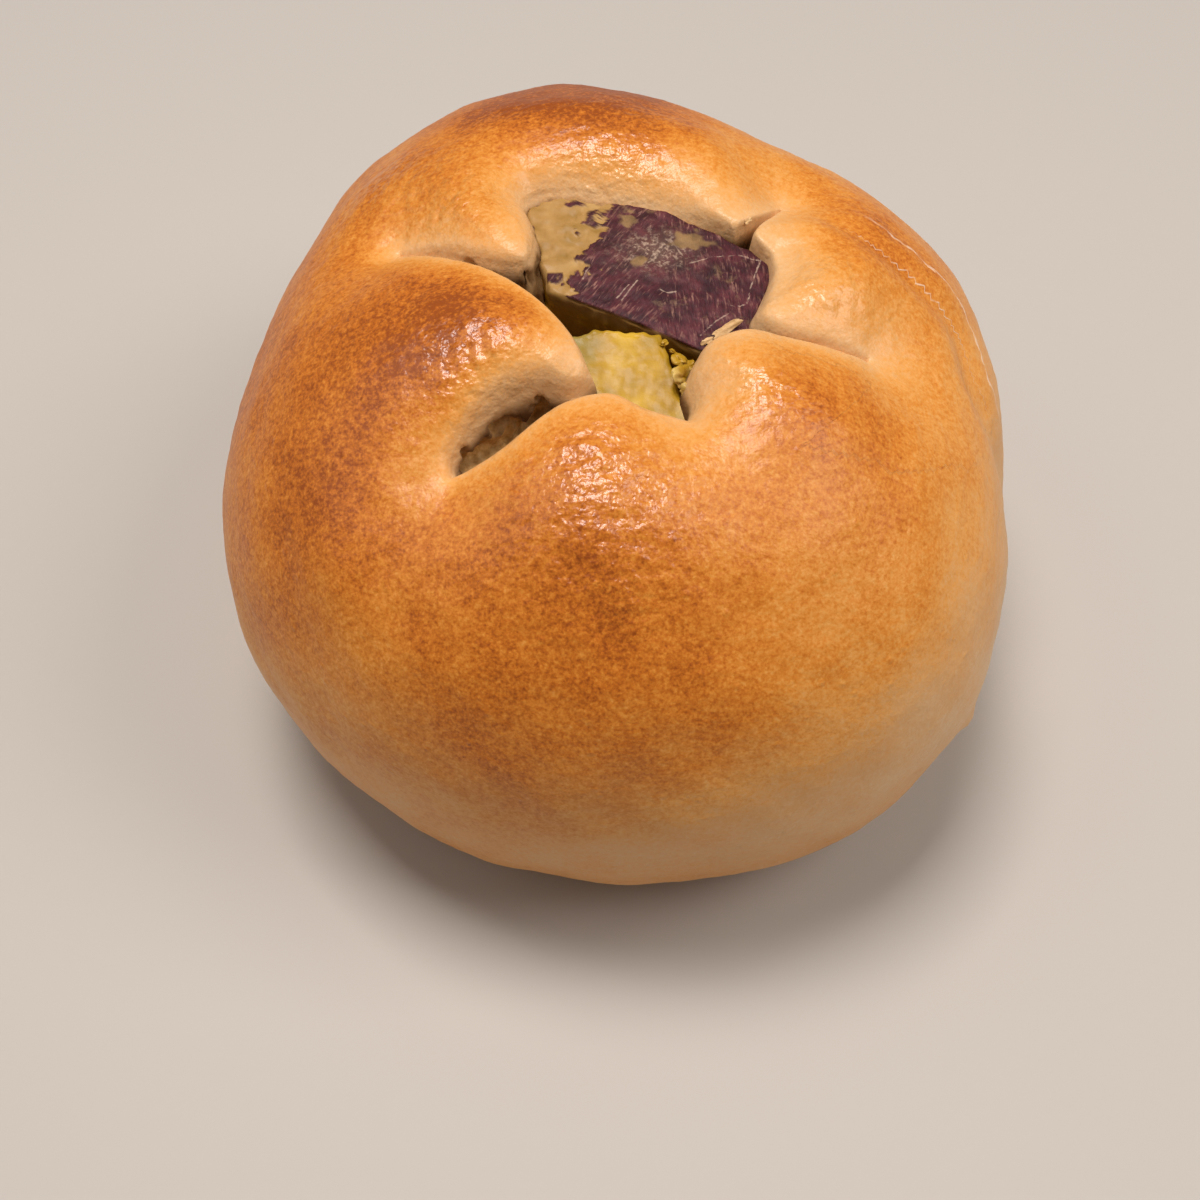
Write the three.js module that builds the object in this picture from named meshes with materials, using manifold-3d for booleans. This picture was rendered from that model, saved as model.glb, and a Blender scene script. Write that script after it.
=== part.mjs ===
// A plump filled bagel bun with a cross-shaped cut in its crown, open on two sweet potato chunks.
// Units are mm. +Z is up, the viewer's side is -Y, and the bun rests on Z = 0.
import * as THREE from "three";
import Module from "manifold-3d";

// ---------------------------------------------------------------- driving dimensions

// The bun as baked, before its crown is cut: a lopsided round plan under a superelliptic dome.
const BODY = {
  radius: 47.9,
  height: 64.0,
  waistHeight: 27.2,
  crownPower: 2.15,
  bellyPower: 2.2,
  footShare: 0.62,
  cosines: [0.0, -0.044, 0.017, -0.007, -0.0105, -0.0046],
  sines: [0.005, -0.028, -0.019, 0.027, 0.0066, 0.0033],
};

// Plan middle of the finished bun's bounding box, which is moved onto the origin.
const BOX_MIDDLE = [0.236, 1.835];

// Ends of the four slits, in plan, and the bends of the lips between them.
const SLIT_LEFT = [-23.6, 9.5];
const SLIT_BACK = [18.3, 15.2];
const SLIT_RIGHT = [25.6, -6.2];
const SLIT_FRONT = [-16.4, -21.1];
const BACK_BEND = [-10.2, 14.0];
const BACK_CORNER = [12.7, 9.6];
const RIGHT_CORNER = [16.2, 5.9];
const LOBE_BEND = [10.0, -7.4];
const VALLEY = [6.8, -16.8];
const LEFT_TIP = [-2.6, -12.6];

// Stretches of lip round the opening, clockwise from above. path: the lip in plan; wall: slope of
// its cut face; rounding: depth over which the crust turns down into it; pillow and roll: how far the
// dough sinks toward the lip and how wide a band sinks, as [drop, width], broadly and close to the lip.
const LIPS = {
  backLeft: {
    path: [SLIT_LEFT, [-19.8, 8.3], [-15.4, 5.8], [-12.0, 4.2], [-9.4, 4.2], [-8.8, 8.2], BACK_BEND],
    wall: 4.5,
    rounding: 1.7,
    pillow: [2.6, 6.5],
    roll: [1.3, 2.5],
  },
  back: {
    path: [BACK_BEND, [-9.0, 16.2], [-5.0, 16.8], [-2.0, 16.2], [4.6, 14.2], [8.1, 12.5], BACK_CORNER],
    wall: 2.4,
    rounding: 2.2,
    pillow: [3.4, 7.0],
    roll: [1.0, 2.5],
  },
  backSlit: {
    path: [BACK_CORNER, [14.6, 11.1], [16.7, 13.2], SLIT_BACK],
    wall: 16.0,
    rounding: 1.0,
    pillow: [2.4, 6.5],
    roll: [1.0, 2.2],
  },
  rightSlit: {
    path: [SLIT_BACK, [17.0, 12.8], [15.3, 10.3], [14.5, 8.1], RIGHT_CORNER],
    wall: 16.0,
    rounding: 1.1,
    pillow: [3.2, 8.5],
    roll: [1.3, 3.2],
  },
  right: {
    path: [
      RIGHT_CORNER, [16.2, 3.4], [15.0, -0.5], [14.2, -3.1], [16.0, -5.2], [19.8, -5.7], SLIT_RIGHT,
    ],
    wall: 3.5,
    rounding: 2.0,
    pillow: [3.4, 9.0],
    roll: [1.4, 3.5],
  },
  lobeBack: {
    path: [SLIT_RIGHT, [19.6, -6.7], [14.4, -6.8], LOBE_BEND],
    wall: 9.0,
    rounding: 0.8,
    pillow: [1.4, 7.0],
    roll: [0.9, 2.2],
  },
  lobeSide: {
    path: [LOBE_BEND, [8.3, -8.8], [7.1, -11.9], [7.6, -14.6], VALLEY],
    wall: 3.5,
    rounding: 2.0,
    pillow: [2.6, 7.5],
    roll: [1.6, 3.2],
  },
  front: {
    path: [
      VALLEY, [3.0, -16.4], [-0.9, -14.7], [-5.3, -15.5], [-11.1, -19.3], [-14.1, -20.6], SLIT_FRONT,
    ],
    wall: 5.0,
    rounding: 1.7,
    pillow: [2.0, 8.0],
    roll: [0.9, 2.4],
  },
  leftFront: {
    path: [SLIT_FRONT, [-16.3, -18.9], [-12.5, -14.7], [-7.9, -13.1], [-4.6, -13.8], LEFT_TIP],
    wall: 4.5,
    rounding: 2.2,
    pillow: [2.0, 8.0],
    roll: [1.0, 2.6],
  },
  leftBack: {
    path: [LEFT_TIP, [-4.6, -8.2], [-7.8, -3.6], [-13.1, 1.7], [-18.9, 6.0], SLIT_LEFT],
    wall: 7.0,
    rounding: 1.0,
    pillow: [2.0, 8.0],
    roll: [0.8, 2.2],
  },
};
const PIT_DEPTH = 26.0; // the opening levels out toward this depth below the uncut crown
const LIP_BLEND = 2.0; // distance over which one stretch of lip gives way to its neighbour
const SLIT_FLARE = [2, 8]; // swells fade out between these drops below the crown
const RIM_FADE = [0.7, 0.95]; // shares of the plan radius over which the lips stop drawing the grid

// Swells (+) and dimples (-) of the crust: plan position, height and radius.
const SWELLS = [
  { at: [-13.5, -10.8], rise: 1.3, radius: 9 },
  { at: [-1.9, -26.2], rise: 1.2, radius: 9 },
  { at: [16.4, -16.7], rise: 1.0, radius: 10 },
  { at: [-2.0, 22.0], rise: 0.9, radius: 10 },
  { at: [23.4, 0.7], rise: 0.8, radius: 8 },
  { at: [-18.1, -25.2], rise: -1.0, radius: 9 },
  { at: [29.0, -9.1], rise: -0.8, radius: 8 },
  { at: [-24.0, 8.0], rise: -0.7, radius: 6 },
  { at: [19.6, 16.4], rise: -0.6, radius: 6 },
  { at: [6.5, -24.4], rise: -0.5, radius: 8 },
];

// The fold that runs from the back slit down the right side, deeper and wider toward its lower end.
const FOLD = {
  path: [[19.3, 14.2, 59.6], [28.1, 7.7, 57.0], [36.7, 2.7, 50.5], [39.9, -4.5, 46.0], [45.3, -10.0, 34.0]],
  depth: [0.5, 1.4],
  width: [1.4, 3.4],
  startShare: 0.15,
};

// Potato chunks: plan corners anticlockwise from above, a sloping top face that is bent down away
// from the centre, and upright cut faces. lean: how far each face draws in per mm below the top.
const CHUNKS = {
  potato_chunk_large: {
    colour: 0x5b3040,
    corners: [
      [-9.9, 14.5], [-7.1, 2.2], [9.2, -6.2], [13.1, -4.8], [16.9, 4.6], [16.5, 6.4], [5.1, 13.9], [-6.8, 16.3],
    ],
    lean: [0.0, 0.12, 0.05, 0.0, 0.0, 0.0, 0.0, 0.0],
    centre: [3.2, 3.5],
    face: { height: 56.3, slope: [0.0, 0.06], bend: 0.004 },
    underside: 40.0,
  },
  potato_chunk_small: {
    colour: 0xc9b23a,
    corners: [[-6.0, -16.5], [7.8, -16.5], [4.5, -4.4], [-1.8, -4.1], [-4.7, -4.8], [-6.0, -5.8]],
    lean: [0.0, 0.05, 0.0, 0.0, 0.0, 0.0],
    centre: [0.5, -9.5],
    face: { height: 58.15, slope: [-0.02, 0.24], bend: 0.003 },
    underside: 42.0,
  },
};
const CHUNK_CORNER_POWER = 30;
const CHUNK_EDGE_RADIUS = 0.6;
const CHUNK_GAP = 0.35; // clearance between a chunk and the dough round it

// Grid of the dough: a fan of columns round a pole inside the opening, closer together along each slit.
const GRID = {
  columns: 112,
  openingRows: 23,
  crownRows: 12,
  bellyRows: 7,
  footRows: 3,
  openingShare: 0.62,
  pole: [1.0, -6.0],
  slitAzimuths: [46, 150, 231, 355],
  slitSpread: 9,
  slitCrowding: 2.2,
  poleFade: 0.9,
};
const CHUNK_GRID = {
  columns: 44,
  faceShares: [0.35, 0.62, 0.85],
  edgeRows: 3,
  sideRows: 4,
  cornerSpread: 4,
  cornerCrowding: 6,
};
const CURVE_STEPS = 6;
const LIP_PULL = { outside: 0.7, inside: 0.4, width: 5.0 };

// ---------------------------------------------------------------- small helpers

function smoothStep(from, to, value) {
  const t = THREE.MathUtils.clamp((value - from) / (to - from), 0, 1);
  return t * t * (3 - 2 * t);
}

function softPlus(value) {
  return Math.max(value, 0) + Math.log1p(Math.exp(-Math.abs(value)));
}

function bell(distance, width) {
  return Math.exp(-((distance / width) ** 2));
}

// Catmull-Rom curve through the points, in any number of coordinates, as a list of points.
function smoothCurve(points, steps) {
  const mirror = (a, b) => a.map((v, k) => 2 * v - b[k]);
  const ends = [mirror(points[0], points[1]), mirror(points.at(-1), points.at(-2))];
  const all = [ends[0], ...points, ends[1]];
  const curve = [];
  for (let i = 1; i < all.length - 2; i++) {
    const [p0, p1, p2, p3] = all.slice(i - 1, i + 3);
    for (let step = 0; step < steps; step++) {
      const t = step / steps;
      curve.push(
        p1.map(
          (v, k) =>
            0.5 *
            (2 * v +
              (p2[k] - p0[k]) * t +
              (2 * p0[k] - 5 * v + 4 * p2[k] - p3[k]) * t * t +
              (3 * v - p0[k] - 3 * p2[k] + p3[k]) * t * t * t),
        ),
      );
    }
  }
  curve.push(points.at(-1));
  return curve;
}

// Distance to a chain of points, the way to its nearest point, and how far along the chain that is.
function nearestOn(curve, point) {
  let best = { distance: Infinity, toward: point, along: 0 };
  for (let i = 0; i < curve.length - 1; i++) {
    const edge = curve[i + 1].map((v, k) => v - curve[i][k]);
    const offset = point.map((v, k) => v - curve[i][k]);
    const length2 = edge.reduce((sum, v) => sum + v * v, 0);
    const dot = edge.reduce((sum, v, k) => sum + v * offset[k], 0);
    const t = THREE.MathUtils.clamp(dot / length2, 0, 1);
    const way = edge.map((v, k) => t * v - offset[k]);
    const distance = Math.hypot(...way);
    if (distance < best.distance) {
      best = { distance, toward: way.map((v) => v / Math.max(distance, 1e-9)), along: (i + t) / (curve.length - 1) };
    }
  }
  return best;
}

function isInside(loop, x, y) {
  let inside = false;
  loop.forEach(([ax, ay], i) => {
    const [bx, by] = loop[(i + 1) % loop.length];
    if (ay > y !== by > y && x < ((bx - ax) * (y - ay)) / (by - ay) + ax) {
      inside = !inside;
    }
  });
  return inside;
}

// ---------------------------------------------------------------- the bun's body

function planRadius(azimuth) {
  const wave = BODY.cosines.reduce((sum, cosine, k) => {
    const turn = (k + 1) * azimuth;
    return sum + cosine * Math.cos(turn) + BODY.sines[k] * Math.sin(turn);
  }, 1);
  return BODY.radius * wave;
}

function planShare(x, y) {
  return Math.hypot(x, y) / planRadius(Math.atan2(y, x));
}

function crownHeight(x, y) {
  const share = Math.min(planShare(x, y), 1);
  const rise = (1 - share ** BODY.crownPower) ** (1 / BODY.crownPower);
  return BODY.waistHeight + (BODY.height - BODY.waistHeight) * rise;
}

// Below 1 inside the uncut bun and above 1 outside it.
function bodyLevel(x, y, z) {
  const share = planShare(x, y);
  if (z >= BODY.waistHeight) {
    const rise = (z - BODY.waistHeight) / (BODY.height - BODY.waistHeight);
    return share ** BODY.crownPower + rise ** BODY.crownPower;
  }
  const fall = Math.min((BODY.waistHeight - z) / BODY.waistHeight, 1);
  const reach = Math.max((share - BODY.footShare) / (1 - BODY.footShare), 0);
  return reach ** BODY.bellyPower + fall ** BODY.bellyPower;
}

function bodyNormal([x, y, z]) {
  const step = 0.2;
  return new THREE.Vector3(
    bodyLevel(x + step, y, z) - bodyLevel(x - step, y, z),
    bodyLevel(x, y + step, z) - bodyLevel(x, y - step, z),
    bodyLevel(x, y, z + step) - bodyLevel(x, y, z - step),
  ).normalize();
}

// ---------------------------------------------------------------- the cut in the crown

const lips = Object.values(LIPS);
const lipCurves = lips.map(({ path }) => smoothCurve(path, CURVE_STEPS));
const openingLoop = lipCurves.flatMap((curve) => curve.slice(0, -1));
const foldCurve = smoothCurve(FOLD.path, CURVE_STEPS);
const swells = SWELLS.map(({ at, rise, radius }) => ({ centre: [...at, crownHeight(...at)], rise, radius }));

// Where a plan point lies against the opening: its signed depth, the way to the nearest lip, and the
// distance to each stretch of lip with its share, which falls as it gets farther than the nearest one.
function openingField(x, y) {
  const inside = isInside(openingLoop, x, y);
  const nearest = lipCurves.map((curve) => nearestOn(curve, [x, y]));
  const closest = nearest.reduce((a, b) => (b.distance < a.distance ? b : a));
  const distances = nearest.map(({ distance }) => distance);
  const weights = distances.map((distance) => Math.exp((closest.distance - distance) / LIP_BLEND));
  const total = weights.reduce((sum, weight) => sum + weight, 0);
  const shares = weights.map((weight) => weight / total);
  return { inside, distances, shares, depth: inside ? closest.distance : -closest.distance, toward: closest.toward };
}

// How far the surface falls below the uncut crown: round the lip and down the wall inside the
// opening, and gently over the pillow and roll of each stretch of lip outside it.
function openingDrop({ inside, distances, shares, depth }) {
  const blend = (value) => shares.reduce((sum, share, i) => sum + share * value(lips[i], i), 0);
  const rounding = blend((lip) => lip.rounding);
  const edge = rounding * softPlus((depth * blend((lip) => lip.wall)) / rounding);
  const sink = blend(({ pillow, roll }, i) => {
    const outside = inside ? 0 : distances[i];
    return pillow[0] * bell(outside, pillow[1]) + roll[0] * bell(outside, roll[1]);
  });
  return PIT_DEPTH * Math.tanh((edge + sink) / PIT_DEPTH);
}

// Height of the crust's swells and of the fold, measured outward from the smooth body.
function crustRelief(point) {
  const bumps = swells.reduce((sum, { centre, rise, radius }) => {
    const distance = Math.hypot(...point.map((v, k) => v - centre[k]));
    return sum + rise * bell(distance, radius);
  }, 0);
  const { distance, along } = nearestOn(foldCurve, point);
  const depth = THREE.MathUtils.lerp(...FOLD.depth, along) * smoothStep(0, FOLD.startShare, along);
  return bumps - depth * bell(distance, THREE.MathUtils.lerp(...FOLD.width, along));
}

function raised(point, share) {
  const height = crustRelief(point) * share;
  const normal = bodyNormal(point);
  return [point[0] + normal.x * height, point[1] + normal.y * height, point[2] + normal.z * height];
}

// A point of the crown over plan position x, y, first drawn toward the nearest lip so that
// the grid is closest where the surface bends most.
function crownPoint(x, y) {
  const before = openingField(x, y);
  const share = before.inside ? LIP_PULL.inside : LIP_PULL.outside;
  const pull = Math.abs(before.depth) * share * bell(before.depth, LIP_PULL.width);
  const reach = pull * (1 - smoothStep(...RIM_FADE, planShare(x, y)));
  const px = x + before.toward[0] * reach;
  const py = y + before.toward[1] * reach;
  const drop = openingDrop(openingField(px, py));
  const [rx, ry, rz] = raised([px, py, crownHeight(px, py)], 1 - smoothStep(...SLIT_FLARE, drop));
  return [rx, ry, rz - drop];
}

// ---------------------------------------------------------------- closed surfaces on grids

// Closes a grid of rows round an axis with one point at either end. Rows run from the top down
// and columns anticlockwise seen from above.
function closedSurface(top, rows, bottom) {
  const columns = rows[0].length;
  const positions = [top, ...rows.flat(), bottom];
  const last = positions.length - 1;
  const at = (row, column) => 1 + row * columns + (column % columns);
  const faces = [];
  for (let j = 0; j < columns; j++) {
    faces.push([0, at(0, j), at(0, j + 1)]);
    faces.push([last, at(rows.length - 1, j + 1), at(rows.length - 1, j)]);
  }
  for (let i = 0; i < rows.length - 1; i++) {
    for (let j = 0; j < columns; j++) {
      faces.push([at(i, j), at(i + 1, j), at(i + 1, j + 1)]);
      faces.push([at(i, j), at(i + 1, j + 1), at(i, j + 1)]);
    }
  }
  return { positions, faces };
}

// Azimuths in radians, closer together round the peaks (degrees), found by walking round in small
// steps and counting the density passed.
function crowdedAzimuths(count, peaks, spread, crowding) {
  const density = (degrees) =>
    peaks.reduce((sum, peak) => {
      const away = Math.abs(degrees - peak) % 360;
      return sum + crowding * bell(Math.min(away, 360 - away), spread);
    }, 1);
  const step = 0.05;
  const steps = 360 / step;
  const passed = [0];
  for (let i = 0; i < steps; i++) {
    passed.push(passed[i] + density((i + 0.5) * step));
  }
  const azimuths = [];
  for (let i = 0; azimuths.length < count; i++) {
    if (passed[i] >= (passed[steps] * azimuths.length) / count) {
      azimuths.push(THREE.MathUtils.degToRad(i * step));
    }
  }
  return azimuths;
}

function doughSurface() {
  const { columns, openingRows, crownRows, bellyRows, footRows, openingShare, pole } = GRID;
  const azimuths = crowdedAzimuths(columns, GRID.slitAzimuths, GRID.slitSpread, GRID.slitCrowding);
  const ring = (share, z, point) =>
    azimuths.map((azimuth) => {
      const radius = share * planRadius(azimuth);
      return point([radius * Math.cos(azimuth), radius * Math.sin(azimuth), z]);
    });
  const shares = [];
  for (let i = 1; i < openingRows; i++) {
    shares.push((openingShare * i) / openingRows);
  }
  const start = Math.asin(openingShare);
  for (let i = 0; i < crownRows; i++) {
    shares.push(Math.sin(start + ((Math.PI / 2 - start) * i) / (crownRows - 1)));
  }
  const crown = shares.map((share) => {
    const shift = 1 - smoothStep(0, GRID.poleFade, share);
    return ring(share, 0, ([x, y]) => crownPoint(x + pole[0] * shift, y + pole[1] * shift));
  });
  const belly = [];
  for (let i = 1; i <= bellyRows; i++) {
    const turn = ((Math.PI / 2) * i) / bellyRows;
    const reach = Math.max(Math.cos(turn), 0) ** (2 / BODY.bellyPower);
    const share = BODY.footShare + (1 - BODY.footShare) * reach;
    const z = i === bellyRows ? 0 : BODY.waistHeight * (1 - Math.sin(turn) ** (2 / BODY.bellyPower));
    belly.push(ring(share, z, (point) => (i === bellyRows ? point : raised(point, 1))));
  }
  const foot = [];
  for (let i = 1; i < footRows; i++) {
    foot.push(ring(BODY.footShare * (1 - i / footRows), 0, (point) => point));
  }
  return closedSurface(crownPoint(...pole), [...crown, ...belly, ...foot], [0, 0, 0]);
}

// A block with rounded edges round an upright axis. Its outline at any depth is where a high-power
// mean of the shares of the way to its side faces is 1, so that corners come out slightly round.
function chunkSurface({ corners, lean, centre, face, underside }, grow) {
  const sides = corners.map(([ax, ay], i) => {
    const [bx, by] = corners[(i + 1) % corners.length];
    const normal = new THREE.Vector2(by - ay, ax - bx).normalize();
    return { normal, reach: normal.x * (ax - centre[0]) + normal.y * (ay - centre[1]) + grow };
  });
  const outline = (azimuth, depth) => {
    const mean = sides.reduce((sum, { normal, reach }, i) => {
      const part = normal.x * Math.cos(azimuth) + normal.y * Math.sin(azimuth);
      return sum + Math.max(part / (reach - lean[i] * depth), 0) ** CHUNK_CORNER_POWER;
    }, 0);
    return mean ** (-1 / CHUNK_CORNER_POWER);
  };
  const tall = face.height - underside;
  const place = (azimuth, share, inset, fall) => {
    const radius = outline(azimuth, fall * tall) * share - inset;
    const x = centre[0] + radius * Math.cos(azimuth);
    const y = centre[1] + radius * Math.sin(azimuth);
    const top = face.height + face.slope[0] * x + face.slope[1] * y - face.bend * radius ** 2 + grow;
    return [x, y, THREE.MathUtils.lerp(top, underside - grow, fall)];
  };
  const { columns, faceShares, edgeRows, sideRows, cornerSpread, cornerCrowding } = CHUNK_GRID;
  const peaks = corners.map(([x, y]) => THREE.MathUtils.radToDeg(Math.atan2(y - centre[1], x - centre[0])));
  const azimuths = crowdedAzimuths(columns, peaks, cornerSpread, cornerCrowding);
  const ring = (share, inset, fall) => azimuths.map((azimuth) => place(azimuth, share, inset, fall));
  const rows = faceShares.map((share) => ring(share, 0, 0));
  for (let i = 0; i <= edgeRows; i++) {
    const turn = ((Math.PI / 2) * i) / edgeRows;
    rows.push(ring(1, CHUNK_EDGE_RADIUS * (1 - Math.sin(turn)), (CHUNK_EDGE_RADIUS / tall) * (1 - Math.cos(turn))));
  }
  const shoulder = CHUNK_EDGE_RADIUS / tall;
  for (let i = 1; i <= sideRows; i++) {
    rows.push(ring(1, 0, shoulder + ((1 - shoulder) * i) / sideRows));
  }
  rows.push(ring(0.5, 0, 1));
  return closedSurface(place(0, 0, 0, 0), rows, place(0, 0, 0, 1));
}

// ---------------------------------------------------------------- solids

const wasm = await Module();
wasm.setup();

function solidOf({ positions, faces }) {
  const centred = positions.map(([x, y, z]) => [x - BOX_MIDDLE[0], y - BOX_MIDDLE[1], z]);
  return new wasm.Manifold(
    new wasm.Mesh({
      numProp: 3,
      vertProperties: new Float32Array(centred.flat()),
      triVerts: new Uint32Array(faces.flat()),
    }),
  );
}

function largestBody(solid) {
  return solid.decompose().reduce((a, b) => (b.volume() > a.volume() ? b : a));
}

function meshOf(name, solid, colour) {
  const { vertProperties, triVerts } = solid.getMesh();
  const geometry = new THREE.BufferGeometry();
  geometry.setAttribute("position", new THREE.BufferAttribute(vertProperties, 3));
  geometry.setIndex(new THREE.BufferAttribute(triVerts, 1));
  geometry.computeVertexNormals();
  const mesh = new THREE.Mesh(geometry, new THREE.MeshStandardMaterial({ color: colour, roughness: 0.6 }));
  mesh.name = name;
  return mesh;
}

const group = new THREE.Group();
let dough = solidOf(doughSurface());
for (const [name, chunk] of Object.entries(CHUNKS)) {
  dough = dough.subtract(solidOf(chunkSurface(chunk, CHUNK_GAP)));
  group.add(meshOf(name, solidOf(chunkSurface(chunk, 0)), chunk.colour));
}
group.add(meshOf("bagel_dough", largestBody(dough), 0xc98a45));

export default group;
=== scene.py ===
"""Looks for a filled bagel bun whose crown is cut crosswise over sweet potato chunks.

Lengths are in millimetres until a mesh is made, where MM turns them into metres. +Z is up and the
viewer's side is -Y, as in the frame. Each shape repeats the formula of the solid that it stands for.
"""

import logging
import math
from dataclasses import dataclass
from enum import Enum

import bpy
import numpy as np
from bpy.types import Material, Node
from bpy.types import NodeSocket as Socket
from mathutils import Matrix, Vector


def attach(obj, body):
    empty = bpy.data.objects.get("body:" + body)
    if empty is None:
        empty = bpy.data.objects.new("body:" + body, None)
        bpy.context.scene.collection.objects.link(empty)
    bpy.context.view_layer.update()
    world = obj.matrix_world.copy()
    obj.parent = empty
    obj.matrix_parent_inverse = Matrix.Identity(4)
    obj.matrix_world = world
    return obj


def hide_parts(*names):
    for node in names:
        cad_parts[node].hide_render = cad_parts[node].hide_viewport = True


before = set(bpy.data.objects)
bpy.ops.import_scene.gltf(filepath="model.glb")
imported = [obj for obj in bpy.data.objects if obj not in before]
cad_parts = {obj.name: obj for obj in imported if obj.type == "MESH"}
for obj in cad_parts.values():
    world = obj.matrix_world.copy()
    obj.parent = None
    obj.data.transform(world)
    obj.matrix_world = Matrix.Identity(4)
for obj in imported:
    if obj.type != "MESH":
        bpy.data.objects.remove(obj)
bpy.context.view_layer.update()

log = logging.getLogger("bagel")

Array = np.ndarray
Piece = bpy.types.Object

MM = 0.001
BODY = "root"
BOX_MIDDLE = np.array([0.236, 1.835, 0.0])


# ---- small helpers


def to_linear(colour: str) -> tuple[float, float, float, float]:
    """Turns an sRGB hex colour into linear RGBA.

    Args:
        colour: six hex digits after a hash sign.

    Returns:
        Linear red, green and blue, and an alpha of 1.
    """
    channels = [int(colour[i : i + 2], 16) / 255 for i in (1, 3, 5)]
    linear = [c / 12.92 if c <= 0.04045 else ((c + 0.055) / 1.055) ** 2.4 for c in channels]
    return (*linear, 1.0)


def smooth_step(start: float, end: float, value: Array) -> Array:
    """Rises smoothly from 0 at start to 1 at end."""
    t = np.clip((value - start) / (end - start), 0.0, 1.0)
    return t * t * (3.0 - 2.0 * t)


def shown_between(fades: tuple, along: Array) -> Array:
    """1 along the middle of a line, with a smooth fade over the first two and the last two places."""
    return smooth_step(fades[0], fades[1], along) * smooth_step(fades[3], fades[2], along)


def bell(distance: Array, width: float) -> Array:
    """A round hump of height 1 that fades over the width."""
    return np.exp(-((distance / width) ** 2))


def smooth_curve(points: tuple, steps: int = 6) -> Array:
    """Draws a Catmull-Rom curve: each stretch is a cubic set by its two ends and their neighbours.

    Args:
        points: the points that the curve runs through.
        steps: how many short stretches there are between two points.

    Returns:
        The curve's points, one in each row.
    """
    p = np.array(points, float)
    p = np.vstack([2 * p[0] - p[1], p, 2 * p[-1] - p[-2]])
    t = (np.arange(steps) / steps)[None, :, None]
    a, b, c, d = (p[k : len(p) - 3 + k, None, :] for k in range(4))
    cubic = 2 * b + (c - a) * t + (2 * a - 5 * b + 4 * c - d) * t**2 + (3 * b - a - 3 * c + d) * t**3
    return np.vstack([(0.5 * cubic).reshape(-1, p.shape[1]), p[-2]])


def nearest_on(curve: Array, points: Array) -> tuple[Array, Array, Array]:
    """Finds each point's nearest place on a chain, by the shortest way to any of its edges.

    Args:
        curve: the chain's points, one in each row.
        points: an array whose last axis holds coordinates.

    Returns:
        The distance, the unit way there, and how far along the chain that is, 0 to 1.
    """
    best = np.full(points.shape[:-1], np.inf)
    toward = np.zeros(points.shape)
    along = np.zeros(points.shape[:-1])
    for i, (start, end) in enumerate(zip(curve[:-1], curve[1:])):
        edge = end - start
        t = np.clip(((points - start) @ edge) / (edge @ edge), 0.0, 1.0)
        way = start + t[..., None] * edge - points
        distance = np.linalg.norm(way, axis=-1)
        closer = distance < best
        best = np.where(closer, distance, best)
        toward = np.where(closer[..., None], way, toward)
        along = np.where(closer, (i + t) / (len(curve) - 1), along)
    return best, toward / np.maximum(best, 1e-9)[..., None], along


def is_inside(loop: Array, x: Array, y: Array) -> Array:
    """Says which plan points lie in a loop, by counting the edges that a ray toward +X crosses.

    Args:
        loop: the loop's corners, one in each row.
        x, y: the plan positions.

    Returns:
        True at each point inside.
    """
    inside = np.zeros(x.shape, bool)
    for (ax, ay), (bx, by) in zip(loop, np.roll(loop, -1, axis=0)):
        if ay != by:
            crossing = (bx - ax) * (y - ay) / (by - ay) + ax
            inside ^= ((ay > y) != (by > y)) & (x < crossing)
    return inside


def waves(points: Array, wavelength: float, seed: int, stretch: tuple = (1, 1, 1)) -> Array:
    """Smooth seeded noise: the sum of many plane waves of about one wavelength in all directions.

    Args:
        points: an array whose last axis holds x, y and z.
        wavelength: the usual distance between two humps.
        seed: what the directions and phases are drawn from.
        stretch: how much longer the humps are along each axis.

    Returns:
        Values round 0 with a spread of about 1.
    """
    rng = np.random.default_rng(seed)
    count = 36
    ways = rng.normal(size=(count, 3))
    ways /= np.linalg.norm(ways, axis=1, keepdims=True)
    ways *= (2 * math.pi / wavelength) * rng.uniform(0.75, 1.35, size=(count, 1)) / np.array(stretch)
    phases = rng.uniform(0, 2 * math.pi, count)
    total = np.zeros(points.shape[:-1])
    for way, phase in zip(ways, phases):
        total += np.cos(points @ way + phase)
    return total / math.sqrt(count / 2)


def layered(points: Array, *layers: tuple) -> Array:
    """Sums layers of waves, each given as (amplitude, wavelength, seed)."""
    return sum(amplitude * waves(points, wavelength, seed) for amplitude, wavelength, seed in layers)


def crowded_azimuths(count: int, peaks: tuple, spread: float, crowding: float) -> Array:
    """Spreads azimuths round the circle, where the running sum of a density passes equal shares.

    The density is 1 plus a hump at each peak.

    Args:
        count: how many azimuths there are.
        peaks: the crowded azimuths in degrees.
        spread, crowding: the width in degrees and the height of each hump.

    Returns:
        The azimuths in radians, from 0 up.
    """
    degrees = np.linspace(0, 360, 7201)
    density = np.ones_like(degrees)
    for peak in peaks:
        away = np.abs(degrees - peak) % 360
        density += crowding * bell(np.minimum(away, 360 - away), spread)
    passed = np.concatenate([[0], np.cumsum((density[1:] + density[:-1]) / 2)])
    return np.radians(np.interp(np.arange(count) / count * passed[-1], passed, degrees))


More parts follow.
